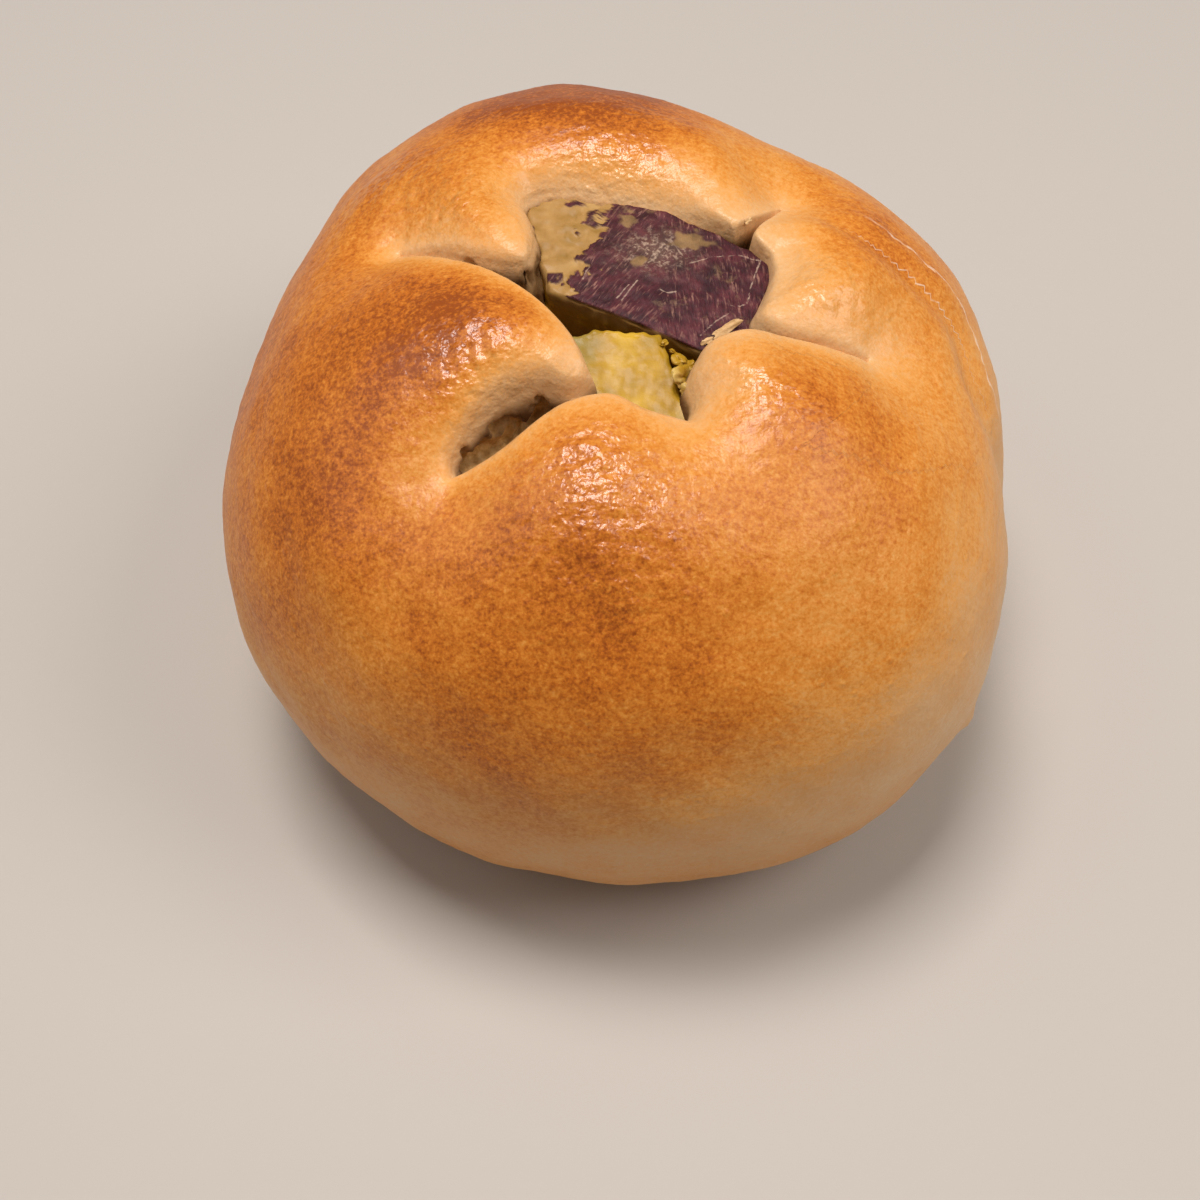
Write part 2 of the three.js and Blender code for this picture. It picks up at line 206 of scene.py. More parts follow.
def closed_mesh(name: str, rows: Array, bottom: Array | None = None) -> Piece:
    """Makes a closed piece of a grid of rows round an axis, with one point at either end.

    Args:
        name: the piece's name.
        rows: points in mm, with rows from the top down and columns anticlockwise from above.
        bottom: the lower end, by default the last row's middle, as the upper is the first's.

    Returns:
        The new object, with smooth faces that point outward.
    """
    count, columns = rows.shape[:2]
    bottom = rows[-1].mean(axis=0) if bottom is None else bottom
    points = np.vstack([rows[0].mean(axis=0), rows.reshape(-1, 3), bottom]) * MM
    grid = 1 + np.arange(count * columns).reshape(count, columns)
    right = np.roll(grid, -1, axis=1)
    quads = np.stack([grid[:-1], grid[1:], right[1:], right[:-1]], axis=-1).reshape(-1, 4)
    last = len(points) - 1
    cap = np.stack([np.zeros(columns, int), grid[0], right[0]], axis=-1)
    base = np.stack([np.full(columns, last), right[-1], grid[-1]], axis=-1)
    mesh = bpy.data.meshes.new(name)
    mesh.from_pydata(points.tolist(), [], quads.tolist() + cap.tolist() + base.tolist())
    mesh.polygons.foreach_set("use_smooth", np.ones(len(mesh.polygons), bool))
    mesh.update()
    piece = bpy.data.objects.new(name, mesh)
    bpy.context.scene.collection.objects.link(piece)
    return piece


def set_attributes(piece: Piece, numbers: dict) -> None:
    """Stores numbers at each vertex of a closed grid piece, for its material to read.

    Args:
        piece: the piece.
        numbers: name to the values at the upper end, over the rows and at the lower end.
    """
    for name, (top, rows, bottom) in numbers.items():
        values = np.concatenate([[top], rows.ravel(), [bottom]]).astype(np.float32)
        piece.data.attributes.new(name, "FLOAT", "POINT").data.foreach_set("value", values)


def joined(name: str, parts: list) -> Piece:
    """Joins the parts into one piece with a name, and returns it."""
    with bpy.context.temp_override(active_object=parts[0], selected_editable_objects=parts):
        bpy.ops.object.join()
    parts[0].name = name
    return parts[0]


# ---- finishes


class Surface:
    """A material under construction, and the shader steps that the finishes share."""

    def __init__(self, name: str) -> None:
        """Makes an empty material whose patterns lie on Object coordinates."""
        self.material = bpy.data.materials.new(name)
        self.material.use_nodes = True
        self.tree = self.material.node_tree
        self.tree.nodes.clear()
        self.place = self.node("ShaderNodeTexCoord").outputs["Object"]

    def node(self, kind: str, inputs: dict | None = None, **settings) -> Node:
        """Adds a shader node, sets its properties, and fills or links its inputs.

        Args:
            kind: the node's type name.
            inputs: input name or number to a value or to an output socket that feeds it.
            **settings: properties of the node itself.

        Returns:
            The new node.
        """
        node = self.tree.nodes.new(kind)
        for name, value in settings.items():
            setattr(node, name, value)
        for key, value in (inputs or {}).items():
            if isinstance(value, Socket):
                self.tree.links.new(value, node.inputs[key])
            else:
                node.inputs[key].default_value = value
        return node

    def noise(self, size_mm: float, detail=3.0, rough=0.55, place: Socket | None = None) -> Socket:
        """Adds noise whose grains are about size_mm across, and returns its value."""
        inputs = {"Scale": 1 / (size_mm * MM), "Detail": detail, "Roughness": rough}
        return self.node("ShaderNodeTexNoise", inputs | {"Vector": place or self.place}).outputs["Fac"]

    def attribute(self, name: str) -> Socket:
        """Reads a number that the mesh holds at each vertex."""
        return self.node("ShaderNodeAttribute", attribute_name=name).outputs["Fac"]

    def maths(self, operation: str, first, second=0.0, third=0.0) -> Socket:
        """Adds a Math node and returns its value."""
        return self.node("ShaderNodeMath", {0: first, 1: second, 2: third}, operation=operation).outputs[0]

    def times(self, first, second) -> Socket:
        """Multiplies two values."""
        return self.maths("MULTIPLY", first, second)

    def swing(self, noise: Socket, amount: float, base=0.0) -> Socket:
        """The base plus the amount times how far the noise lies from a half."""
        return self.maths("MULTIPLY_ADD", noise, amount, self.maths("ADD", base, -amount / 2))

    def spread(self, value, low: float, high: float, to_low: float = 0.0, to_high: float = 1.0) -> Socket:
        """Maps a value from one range to another, held at the ends."""
        inputs = {"Value": value, "From Min": low, "From Max": high, "To Min": to_low, "To Max": to_high}
        return self.node("ShaderNodeMapRange", inputs).outputs["Result"]

    def mix(self, share, first, second) -> Socket:
        """Mixes two colours, of which the second may be an sRGB hex colour."""
        second = to_linear(second) if isinstance(second, str) else second
        return self.node("ShaderNodeMix", {0: share, 6: first, 7: second}, data_type="RGBA").outputs[2]

    def ramp(self, factor: Socket, stops: dict) -> Socket:
        """Turns a value into a colour.

        Args:
            factor: the value.
            stops: place from 0 to 1, to sRGB hex colour.

        Returns:
            The colour.
        """
        ramp = self.node("ShaderNodeValToRGB", {"Fac": factor})
        elements = ramp.color_ramp.elements
        while len(elements) < len(stops):
            elements.new(0.5)
        for element, (place, colour) in zip(elements, sorted(stops.items())):
            element.position = place
            element.color = to_linear(colour)
        return ramp.outputs["Color"]

    def bump(self, height, depth_mm: float, strength=1.0, below: Socket | None = None) -> Socket:
        """Adds fine relief of the given depth over any relief below it."""
        inputs = {"Height": height, "Distance": depth_mm * MM, "Strength": strength}
        return self.node("ShaderNodeBump", inputs | ({"Normal": below} if below else {})).outputs["Normal"]

    def close(self, inputs: dict) -> Material:
        """Adds the Principled surface with its inputs and returns the finished material."""
        surface = self.node("ShaderNodeBsdfPrincipled", inputs)
        self.node("ShaderNodeOutputMaterial", {"Surface": surface.outputs[0]})
        return self.material


class Finish:
    """What a piece is made of, ready to become a material."""

    def build(self) -> Material:
        """Builds the material."""
        raise NotImplementedError


@dataclass(frozen=True)
class BakedCrust(Finish):
    """Egg-glossed baked wheat crust with torn crumb where it was cut.

    It gives the eye a satin skin that runs from cream through gold to brown, freckled by the oven,
    with small glittering wrinkles and blisters, and a matt pale crumb on the cut faces. Deep in the
    slits the crust and crumb are darkened as painted shade. A pattern has its grain in mm, and how
    far it shifts the browning as an amount or its relief as a depth in mm.
    """

    mottle_mm: float = 0.7
    mottle_amount: float = 0.90
    freckle_mm: float = 0.32
    freckle_amount: float = 0.46
    cloud_mm: float = 6.0
    cloud_amount: float = 0.22
    wrinkle_mm: float = 1.3
    wrinkle_depth: float = 0.38
    grain_mm: float = 0.24
    grain_depth: float = 0.035
    blister_mm: float = 2.6
    blister_depth: float = 0.10
    crumb_mm: float = 1.0
    line_places: tuple = (0.0, 4.8)
    line_width: float = 0.34
    line_depth: float = 0.08
    satin: float = 0.46
    shine: float = 0.30
    glaze: float = 0.5

    def fold_lines(self, s: Surface) -> Socket:
        """Draws hair-thin broken wrinkles where the wandering distance from the fold is near a place.

        Args:
            s: the material under construction.

        Returns:
            How strongly a wrinkle shows, from 0 to 1, for its relief and for its whitish colour, partly a
            painted highlight.
        """
        aside = s.swing(s.noise(2.2, 3.0, 0.6), 2.0, s.attribute("fold_distance"))
        away = [s.maths("ABSOLUTE", s.maths("SUBTRACT", aside, place)) for place in self.line_places]
        hairs = [s.spread(distance, self.line_width, 0.08) for distance in away]
        broken = s.spread(s.noise(1.4, 2.0), 0.34, 0.56, 0.15, 0.7)
        return s.times(s.maths("MAXIMUM", *hairs), s.times(broken, s.attribute("fold_shown")))

    def build(self) -> Material:
        """Builds the material."""
        s = Surface("baked_wheat_crust")
        browning, cut, gloss, deep = map(s.attribute, ("browning", "cut_face", "gloss", "deep"))
        shade = s.swing(s.noise(self.mottle_mm, 4.0, 0.68), self.mottle_amount)
        shade = s.swing(s.noise(self.freckle_mm, 1.0, 0.5), self.freckle_amount, shade)
        shade = s.swing(s.noise(self.cloud_mm, 2.0), self.cloud_amount, shade)
        toasted = s.maths("MULTIPLY_ADD", shade, s.spread(browning, 0.0, 1.0, 0.25, 1.2), browning)
        crust = s.ramp(toasted, {
            0.0: "#e2be90", 0.2: "#dfac70", 0.42: "#df9d4e", 0.60: "#d4862f", 0.78: "#c06c1b", 1.0: "#92470d",
        })
        lines = self.fold_lines(s)
        # The whitish hairlines are partly pale stretched crust and partly a painted highlight on the
        # wrinkles' crests.
        crust = s.mix(lines, crust, "#f7dcc0")
        crumb = s.ramp(s.noise(self.crumb_mm, 3.0, 0.65), {0.3: "#a07436", 0.5: "#c99d5c", 0.7: "#e2c087"})
        # Painted shade: deep in the slits, by the attribute deep, the crust and crumb darken toward deep
        # brown.
        painted_cut_shade = s.times(deep, s.spread(cut, 0.0, 1.0, 1.0, 0.12))
        colour = s.mix(painted_cut_shade, s.mix(cut, crust, crumb), "#573512")
        wrinkled = s.spread(gloss, 0.0, 1.0, 0.18, 1.0)
        relief = s.bump(s.noise(self.wrinkle_mm, 2.0, 0.5), self.wrinkle_depth, wrinkled)
        relief = s.bump(s.noise(self.grain_mm, 1.0, 0.5), self.grain_depth, 0.8, relief)
        relief = s.bump(lines, self.line_depth, 1.0, relief)
        cells = s.node("ShaderNodeTexVoronoi", {"Vector": s.place, "Scale": 1 / (self.blister_mm * MM)})
        relief = s.bump(s.spread(cells.outputs["Distance"], 0.17, 0.0), self.blister_depth, 0.7, relief)
        sheen_loss = s.spread(gloss, 0.0, 1.0, self.satin, self.shine)
        return s.close({
            "Base Color": colour, "Normal": relief, "IOR": 1.4,
            "Roughness": s.maths("MULTIPLY_ADD", s.maths("MAXIMUM", cut, deep), 0.35, sheen_loss),
            "Coat Weight": s.times(gloss, self.glaze), "Coat Roughness": 0.27, "Coat IOR": 1.5,
            "Coat Normal": relief,
        })


@dataclass(frozen=True)
class PotatoSkinAndFlesh(Finish):
    """Cooked sweet potato skin over its flesh.

    It gives the eye a dull wine purple skin scored by fine pale fibres, olive yellow moist flesh
    where the skin has come away, and golden flesh that darkens down the cut sides, partly as
    oxidised flesh and partly as painted shade.
    """

    fibre_mm: float = 0.30
    fibre_length: float = 5.0
    fibre_degrees: tuple = (55, 94)

    def fibres(self, s: Surface, degrees: float) -> Socket:
        """Draws short fine streaks at an angle to +X: noise drawn out along one direction.

        Args:
            s: the material under construction.
            degrees: the angle.

        Returns:
            The noise's value.
        """
        turn, stretch = (0.0, 0.0, -math.radians(degrees)), (1 / self.fibre_length, 1.0, 1.0)
        turned = s.node("ShaderNodeMapping", {"Vector": s.place, "Rotation": turn})
        drawn = s.node("ShaderNodeMapping", {"Vector": turned.outputs[0], "Scale": stretch})
        return s.noise(self.fibre_mm, 2.0, 0.6, drawn.outputs[0])

    def build(self) -> Material:
        """Builds the material: each layer of the skin covers the ones before it by its share."""
        s = Surface("cooked_potato_skin")
        skin, sunk, worn = map(s.attribute, ("skin", "sunk", "worn"))
        patch = s.noise(1.9, 4.0, 0.6)
        leaning, upright = (self.fibres(s, degrees) for degrees in self.fibre_degrees)
        sides = {0: s.attribute("far_right"), 2: leaning, 3: upright}
        streaks = s.node("ShaderNodeMix", sides, data_type="FLOAT").outputs[0]
        thick = s.spread(s.noise(1.6, 3.0, 0.6), 0.40, 0.66, 0.06, 0.6)
        scored = s.swing(s.noise(0.5, 2.0), 0.24, s.attribute("score_distance"))
        crystals = s.spread(s.noise(0.45, 3.0, 0.6), 0.50, 0.64, 0.0, 0.8)
        rubbed = s.spread(s.noise(2.4, 5.0, 0.7), 0.58, 0.70, 0.0, 0.6)
        colour = s.ramp(patch, {0.3: "#2b0e16", 0.5: "#451a23", 0.7: "#5f2c33"})
        for share, layer in (
            (s.times(s.spread(streaks, 0.54, 0.68), thick), "#ab8070"),
            (s.spread(streaks, 0.44, 0.34, 0.0, 0.6), "#2a1014"),
            (s.spread(scored, 0.10, 0.02, 0.0, 0.55), "#c9b09c"),
            (rubbed, "#7d6247"),
            (s.times(worn, 0.55), "#6d5648"),
            (s.times(worn, crystals), "#b9a08c"),
            (s.times(s.attribute("bared"), 0.9), s.ramp(patch, {0.35: "#6f5636", 0.65: "#9a7a50"})),
        ):
            colour = s.mix(share, colour, layer)
        flesh = s.ramp(s.noise(2.0, 3.0, 0.5), {0.3: "#957338", 0.5: "#a7824b", 0.7: "#b6925a"})
        flesh = s.mix(s.spread(sunk, 1.2, 2.6), flesh, "#a77c12")
        # Painted shade, partly oxidised flesh: the cut sides darken to brown deep below the face.
        flesh = s.mix(s.spread(sunk, 3.5, 9.0), flesh, "#7a560a")
        return s.close({
            "Base Color": s.mix(skin, flesh, colour), "Roughness": s.spread(skin, 0.0, 1.0, 0.42, 0.58),
            "Normal": s.bump(s.times(streaks, skin), 0.14), "IOR": 1.34,
        })


@dataclass(frozen=True)
class PotatoFlesh(Finish):
    """Cooked yellow sweet potato flesh.

    It gives the eye a moist, grainy, slightly clear yellow with greener hollows and pale dry crests.
    """

    name: str = "cooked_potato_flesh"
    grain_mm: float = 0.6
    cloud_mm: float = 4.5
    crest: str = "#cda631"

    def build(self) -> Material:
        """Builds the material."""
        s = Surface(self.name)
        grain = s.noise(self.grain_mm, 3.0, 0.6)
        tone = s.maths("MULTIPLY_ADD", grain, 0.2, s.noise(self.cloud_mm, 2.0, 0.5))
        flesh = s.ramp(tone, {0.36: "#957711", 0.58: "#b08819", 0.80: self.crest})
        flesh = s.mix(s.times(s.attribute("green_rim"), 0.8), flesh, "#8f8243")
        colour = s.mix(s.attribute("skin"), flesh, "#4a1f24")
        return s.close({"Base Color": colour, "Roughness": 0.42, "Normal": s.bump(grain, 0.04), "IOR": 1.42})


@dataclass(frozen=True)
class TornDough(Finish):
    """Thin baked dough skin where it tore: it gives the eye a dry cream flake with a straw tint."""

    grain_mm: float = 0.5

    def build(self) -> Material:
        """Builds the material."""
        s = Surface("torn_dough_skin")
        grain = s.noise(self.grain_mm, 3.0, 0.6)
        colour = s.ramp(grain, {0.3: "#c59d66", 0.5: "#d2ab76", 0.7: "#dcba88"})
        return s.close({"Base Color": colour, "Roughness": 0.6, "Normal": s.bump(grain, 0.08), "IOR": 1.45})


@dataclass(frozen=True)
class PaleFloor(Finish):
    """A plain pale painted floor, which only catches the shadow."""

    colour: str = "#bfbbb5"

    def build(self) -> Material:
        """Builds the material."""
        return Surface("pale_painted_floor").close({"Base Color": to_linear(self.colour), "Roughness": 0.7})


# ---- the dough


@dataclass(frozen=True)
class BunBody:
    """The uncut bun: a lopsided round plan under a superelliptic dome, over a rounded belly."""

    radius: float = 47.9
    height: float = 64.0
    waist: float = 27.2
    crown_power: float = 2.15
    belly_power: float = 2.2
    foot_share: float = 0.62
    cosines: tuple = (0.0, -0.044, 0.017, -0.007, -0.0105, -0.0046)
    sines: tuple = (0.005, -0.028, -0.019, 0.027, 0.0066, 0.0033)
    slope_step: float = 0.2

    def plan_radius(self, azimuth: Array) -> Array:
        """The plan's radius: the mean radius times 1 plus a few cosines and sines of the azimuth."""
        share = np.ones_like(azimuth)
        for k, (cosine, sine) in enumerate(zip(self.cosines, self.sines), start=1):
            share = share + cosine * np.cos(k * azimuth) + sine * np.sin(k * azimuth)
        return self.radius * share

    def plan_share(self, x: Array, y: Array) -> Array:
        """How far out a plan point is, as a share of the plan's radius there."""
        return np.hypot(x, y) / self.plan_radius(np.arctan2(y, x))

    def crown_height(self, x: Array, y: Array) -> Array:
        """The dome's height over a plan point: share^p + rise^p = 1."""
        share = np.minimum(self.plan_share(x, y), 1.0)
        rise = (1 - share**self.crown_power) ** (1 / self.crown_power)
        return self.waist + (self.height - self.waist) * rise

    def level(self, x: Array, y: Array, z: Array) -> Array:
        """Measures how far out points lie, by one superellipse above the waist and one below it.

        Args:
            x, y, z: their positions.

        Returns:
            A number below 1 inside the bun and above 1 outside it.
        """
        share = self.plan_share(x, y)
        rise = np.maximum((z - self.waist) / (self.height - self.waist), 0)
        above = share**self.crown_power + rise**self.crown_power
        fall = np.clip((self.waist - z) / self.waist, 0, 1)
        reach = np.maximum((share - self.foot_share) / (1 - self.foot_share), 0)
        below = reach**self.belly_power + fall**self.belly_power
        return np.where(z >= self.waist, above, below)

    def normal(self, points: Array) -> Array:
        """Finds the outward unit vectors: how the level changes over a small step along each axis."""
        step = self.slope_step
        x, y, z = np.moveaxis(points, -1, 0)
        slope = np.stack([
            self.level(x + step, y, z) - self.level(x - step, y, z),
            self.level(x, y + step, z) - self.level(x, y - step, z),
            self.level(x, y, z + step) - self.level(x, y, z - step),
        ], axis=-1)
        return slope / np.maximum(np.linalg.norm(slope, axis=-1, keepdims=True), 1e-9)


SLIT_LEFT = (-23.6, 9.5)
SLIT_BACK = (18.3, 15.2)
SLIT_RIGHT = (25.6, -6.2)
SLIT_FRONT = (-16.4, -21.1)
BACK_BEND = (-10.2, 14.0)
BACK_CORNER = (12.7, 9.6)
RIGHT_CORNER = (16.2, 5.9)
LOBE_BEND = (10.0, -7.4)
VALLEY = (6.8, -16.8)
LEFT_TIP = (-2.6, -12.6)


@dataclass(frozen=True)
class Lip:
    """A stretch of one flap's edge and how the dough bends there into the cut.

    wall is the slope of its cut face, and rounding is how softly the lip turns into it, in mm. pillow
    and roll say how far its dough sinks toward the lip and how wide a band sinks, as (drop, width).
    pale is how far from the lip it has browned by two thirds, in mm. torn and undercut say how
    ragged its cut face is and how far it runs back under the flap, in mm.
    """

    path: tuple
    wall: float
    rounding: float
    pillow: tuple
    roll: tuple
    pale: float
    torn: float = 0.0
    undercut: float = 0.0


class LipName(Enum):
    """The stretches of lip round the opening, clockwise from above."""

    BACK_LEFT = Lip(
        path=(SLIT_LEFT, (-19.8, 8.3), (-15.4, 5.8), (-12.0, 4.2), (-9.4, 4.2), (-8.8, 8.2), BACK_BEND),
        wall=4.5, rounding=1.7, pillow=(2.6, 6.5), roll=(1.3, 2.5), pale=4.2, torn=0.2, undercut=0.5)
    BACK = Lip(
        path=(BACK_BEND, (-9.0, 16.2), (-5.0, 16.8), (-2.0, 16.2), (4.6, 14.2), (8.1, 12.5), BACK_CORNER),
        wall=2.4, rounding=2.2, pillow=(3.4, 7.0), roll=(1.0, 2.5), pale=2.8)
    BACK_SLIT = Lip(
        path=(BACK_CORNER, (14.6, 11.1), (16.7, 13.2), SLIT_BACK),
        wall=16.0, rounding=1.0, pillow=(2.4, 6.5), roll=(1.0, 2.2), pale=3.2)
    RIGHT_SLIT = Lip(
        path=(SLIT_BACK, (17.0, 12.8), (15.3, 10.3), (14.5, 8.1), RIGHT_CORNER),
        wall=16.0, rounding=1.1, pillow=(3.2, 8.5), roll=(1.3, 3.2), pale=5.5)
    RIGHT = Lip(
        path=(RIGHT_CORNER, (16.2, 3.4), (15.0, -0.5), (14.2, -3.1), (16.0, -5.2), (19.8, -5.7), SLIT_RIGHT),
        wall=3.5, rounding=2.0, pillow=(3.4, 9.0), roll=(1.4, 3.5), pale=8.0)
    LOBE_BACK = Lip(
        path=(SLIT_RIGHT, (19.6, -6.7), (14.4, -6.8), LOBE_BEND),
        wall=9.0, rounding=0.8, pillow=(1.4, 7.0), roll=(0.9, 2.2), pale=1.7)
    LOBE_SIDE = Lip(
        path=(LOBE_BEND, (8.3, -8.8), (7.1, -11.9), (7.6, -14.6), VALLEY),
        wall=3.5, rounding=2.0, pillow=(2.6, 7.5), roll=(1.6, 3.2), pale=6.0)
    FRONT = Lip(
        path=(VALLEY, (3.0, -16.4), (-0.9, -14.7), (-5.3, -15.5), (-11.1, -19.3), (-14.1, -20.6),
              SLIT_FRONT),
        wall=5.0, rounding=1.7, pillow=(2.0, 8.0), roll=(0.9, 2.4), pale=2.6, torn=0.05, undercut=0.5)
    LEFT_FRONT = Lip(
        path=(SLIT_FRONT, (-16.3, -18.9), (-12.5, -14.7), (-7.9, -13.1), (-4.6, -13.8), LEFT_TIP),
        wall=4.5, rounding=2.2, pillow=(2.0, 8.0), roll=(1.0, 2.6), pale=2.2, torn=0.4, undercut=1.5)
    LEFT_BACK = Lip(
        path=(LEFT_TIP, (-4.6, -8.2), (-7.8, -3.6), (-13.1, 1.7), (-18.9, 6.0), SLIT_LEFT),
        wall=7.0, rounding=1.0, pillow=(2.0, 8.0), roll=(0.8, 2.2), pale=1.5, torn=0.1, undercut=0.6)


@dataclass(frozen=True)
class CutPlace:
    """Where plan points lie against the cut.

    distances holds the distance to each stretch of lip, depth the signed distance into the opening,
    toward the unit way to the nearest lip, and shares how much each stretch counts there.
    """

    distances: Array
    depth: Array
    toward: Array
    shares: Array

    def blend(self, name: str) -> Array:
        """Averages one number of the stretches of lip by their shares."""
        return np.tensordot(np.array([getattr(lip.value, name) for lip in LipName]), self.shares, axes=1)


@dataclass
class BagelDough:
    """The bun's dough: one closed skin that runs from the foot over the crown and into the cut.

    swells, glossy_spots and toasted_and_shaded_spots are round places on the crown: (x, y), then a rise and a
    radius, a radius, or a radius and a change of browning. Layers are (amplitude, wavelength, seed).
    """

    body: BunBody = BunBody()
    pit_depth: float = 26.0
    lip_blend: float = 2.0
    slit_flare: tuple = (2, 8)
    rim_fade: tuple = (0.7, 0.95)
    swells: tuple = (
        ((-13.5, -10.8), 1.3, 9), ((-1.9, -26.2), 1.2, 9), ((16.4, -16.7), 1.0, 10), ((-2.0, 22.0), 0.9, 10),
        ((23.4, 0.7), 0.8, 8), ((-18.1, -25.2), -1.0, 9), ((29.0, -9.1), -0.8, 8), ((-24.0, 8.0), -0.7, 6),
        ((19.6, 16.4), -0.6, 6), ((6.5, -24.4), -0.5, 8),
    )
    fold_path: tuple = ((19.3, 14.2, 59.6), (28.1, 7.7, 57.0), (36.7, 2.7, 50.5), (39.9, -4.5, 46.0),
                        (45.3, -10.0, 34.0))
    fold_depth: tuple = (0.5, 1.4)
    fold_width: tuple = (1.4, 3.4)
    fold_start: float = 0.15
    fold_reach: float = 9.0
    fold_lines_shown: tuple = (0.12, 0.28, 0.70, 0.95)
    crease_path: tuple = ((-6.0, -30.6, 56.3), (-4.3, -33.0, 54.9), (-2.0, -36.3, 52.8), (0.3, -39.0, 50.4),
                          (2.2, -41.3, 47.8))
    crease_shown: tuple = (0.0, 0.2, 0.6, 1.0)
    crease_depth: float = 0.22
    crease_width: float = 1.4
    painted_crease_shade: float = 0.05
    nub: tuple = (38.6, -31.6, 24.0)
    nub_rise: float = 0.7
    nub_radius: float = 1.1
    slow_swells: tuple = ((0.10, 13.0, 3), (0.03, 5.0, 5))
    peel_heights: tuple = (0.012, 0.028)
    peel_waves: tuple = (1.9, 7)
    skin_creases: tuple = (2.4, 11, (1.6, 1.6, 0.6))
    skin_crease_height: float = 0.03
    skin_crease_levels: tuple = (30, 8)
    pole: tuple = (1.0, -6.0)
    pole_fade: float = 0.9
    opening_share: float = 0.62
    pull_outside: float = 0.7
    pull_inside: float = 0.4
    pull_width: float = 5.0
    slit_azimuths: tuple = (46, 150, 231, 355)
    slit_crowding: tuple = (9, 2.2)
    columns: int = 340
    row_counts: tuple = (130, 80, 48, 8)
    foot_flare: tuple = (0, 2.0)
    tear_start: float = 6.8
    tear_blend: tuple = (-0.5, 0.9)
    tear_layers: tuple = ((1, 3.0, 31), (0.6, 1.3, 33))
    tear_ragged: float = 0.55
    full_tear: float = 0.3
    painted_shade_depths: tuple = (0.8, 3.6)
    lip_brown: float = 0.10
    lip_overlap: float = 0.25
    brown_mean: float = 0.64
    brown_swing: float = 0.15
    brown_azimuth: float = 215.0
    pale_azimuth: float = -20.0
    pale_height: float = 31.0
    pale_rise: float = 13.0
    pale_power: float = 1.5
    pale_blend: tuple = (-12, 11)
    pale_level: float = 0.27
    pale_swing: float = 0.13
    pale_edge: tuple = (1.3, 16.0, 21)
    uneven: tuple = (0.025, 7.0, 23)
    foot_brown_and_shade: float = 0.16
    foot_levels: tuple = (30, 14)
    spot_levels: tuple = (25, 40)
    gloss_everywhere: float = 0.12
    gloss_at_lips: float = 0.25
    gloss_reach: tuple = (24, 6)
    glossy_spots: tuple = (
        ((-2.1, -26.5), 9.0), ((-15.5, -11.5), 6.5), ((-17.5, 14.0), 6.0), ((21.0, 1.0), 4.5),
        ((15.5, -14.5), 4.5), ((0.0, 19.5), 7.0), ((-1.9, -31.5), 3.0), ((0.3, -34.6), 2.4),
        ((-25.0, 20.5), 4.5),
    )
    toasted_and_shaded_spots: tuple = (
        # The spot at (-4, 34) browns the back of the crown as painted shade.
        ((-17.5, -7.5), 8.5, 0.20), ((-4.0, 34.0), 13.0, 0.60), ((-34.0, -14.0), 12.0, 0.05),
        ((20.0, -24.0), 9.0, 0.08), ((26.0, 10.0), 11.0, 0.30), ((-5.0, -11.8), 4.2, -0.36),
        ((-11.5, -14.2), 3.2, -0.30), ((-21.0, -20.5), 4.5, -0.16), ((2.0, 21.0), 8.0, 0.12),
        ((21.0, -11.5), 8.0, 0.28), ((21.0, 18.0), 6.0, 0.14), ((-28.0, -24.0), 8.0, 0.10),
        ((0.0, -39.0), 9.0, 0.10), ((-12.5, 8.0), 5.0, 0.10), ((0.0, -48.0), 8.0, -0.10),
        ((-31.0, -37.0), 10.0, -0.22), ((-43.0, -18.0), 10.0, -0.16), ((22.0, -35.0), 10.0, -0.12),
    )

    def __post_init__(self) -> None:
        """Works out the curves that every later step measures from."""
        self.curves = [smooth_curve(lip.value.path) for lip in LipName]
        self.loop = np.vstack([curve[:-1] for curve in self.curves])
        self.fold = smooth_curve(self.fold_path)
        self.crease = smooth_curve(self.crease_path)

    def cut_place(self, x: Array, y: Array) -> CutPlace:
        """Measures plan points against the opening.

        A stretch's share falls off with how much farther it is than the nearest one.

        Args:
            x, y: the plan positions.

        Returns:
            Where the points lie.
        """
        points = np.stack([x, y], axis=-1)
        found = [nearest_on(curve, points) for curve in self.curves]
        distances = np.stack([each[0] for each in found])
        closest = np.argmin(distances, axis=0)
        ways = np.stack([each[1] for each in found])
        toward = np.take_along_axis(ways, closest[None, ..., None], axis=0)[0]
        nearest = distances.min(axis=0)
        shares = np.exp((nearest - distances) / self.lip_blend)
        sign = np.where(is_inside(self.loop, x, y), 1.0, -1.0)
        return CutPlace(distances, nearest * sign, toward, shares / shares.sum(axis=0))

    def opening_drop(self, place: CutPlace) -> Array:
        """Works out how far the surface falls below the uncut crown.

        A soft plus of the depth rounds the lip and then goes down the wall. Outside, each stretch's
        pillow and roll sink gently toward it. Both level off at the pit's depth.

        Args:
            place: where the points lie against the cut.

        Returns:
            The fall in mm.
        """
        rounding = place.blend("rounding")
        edge = rounding * np.logaddexp(0, place.depth * place.blend("wall") / rounding)
        outside = np.where(place.depth > 0, 0, place.distances)
        sinks = np.stack([
            sum(drop * bell(distance, width) for drop, width in (lip.value.pillow, lip.value.roll))
            for lip, distance in zip(LipName, outside)
        ])
        sink = (place.shares * sinks).sum(axis=0)
        return self.pit_depth * np.tanh((edge + sink) / self.pit_depth)

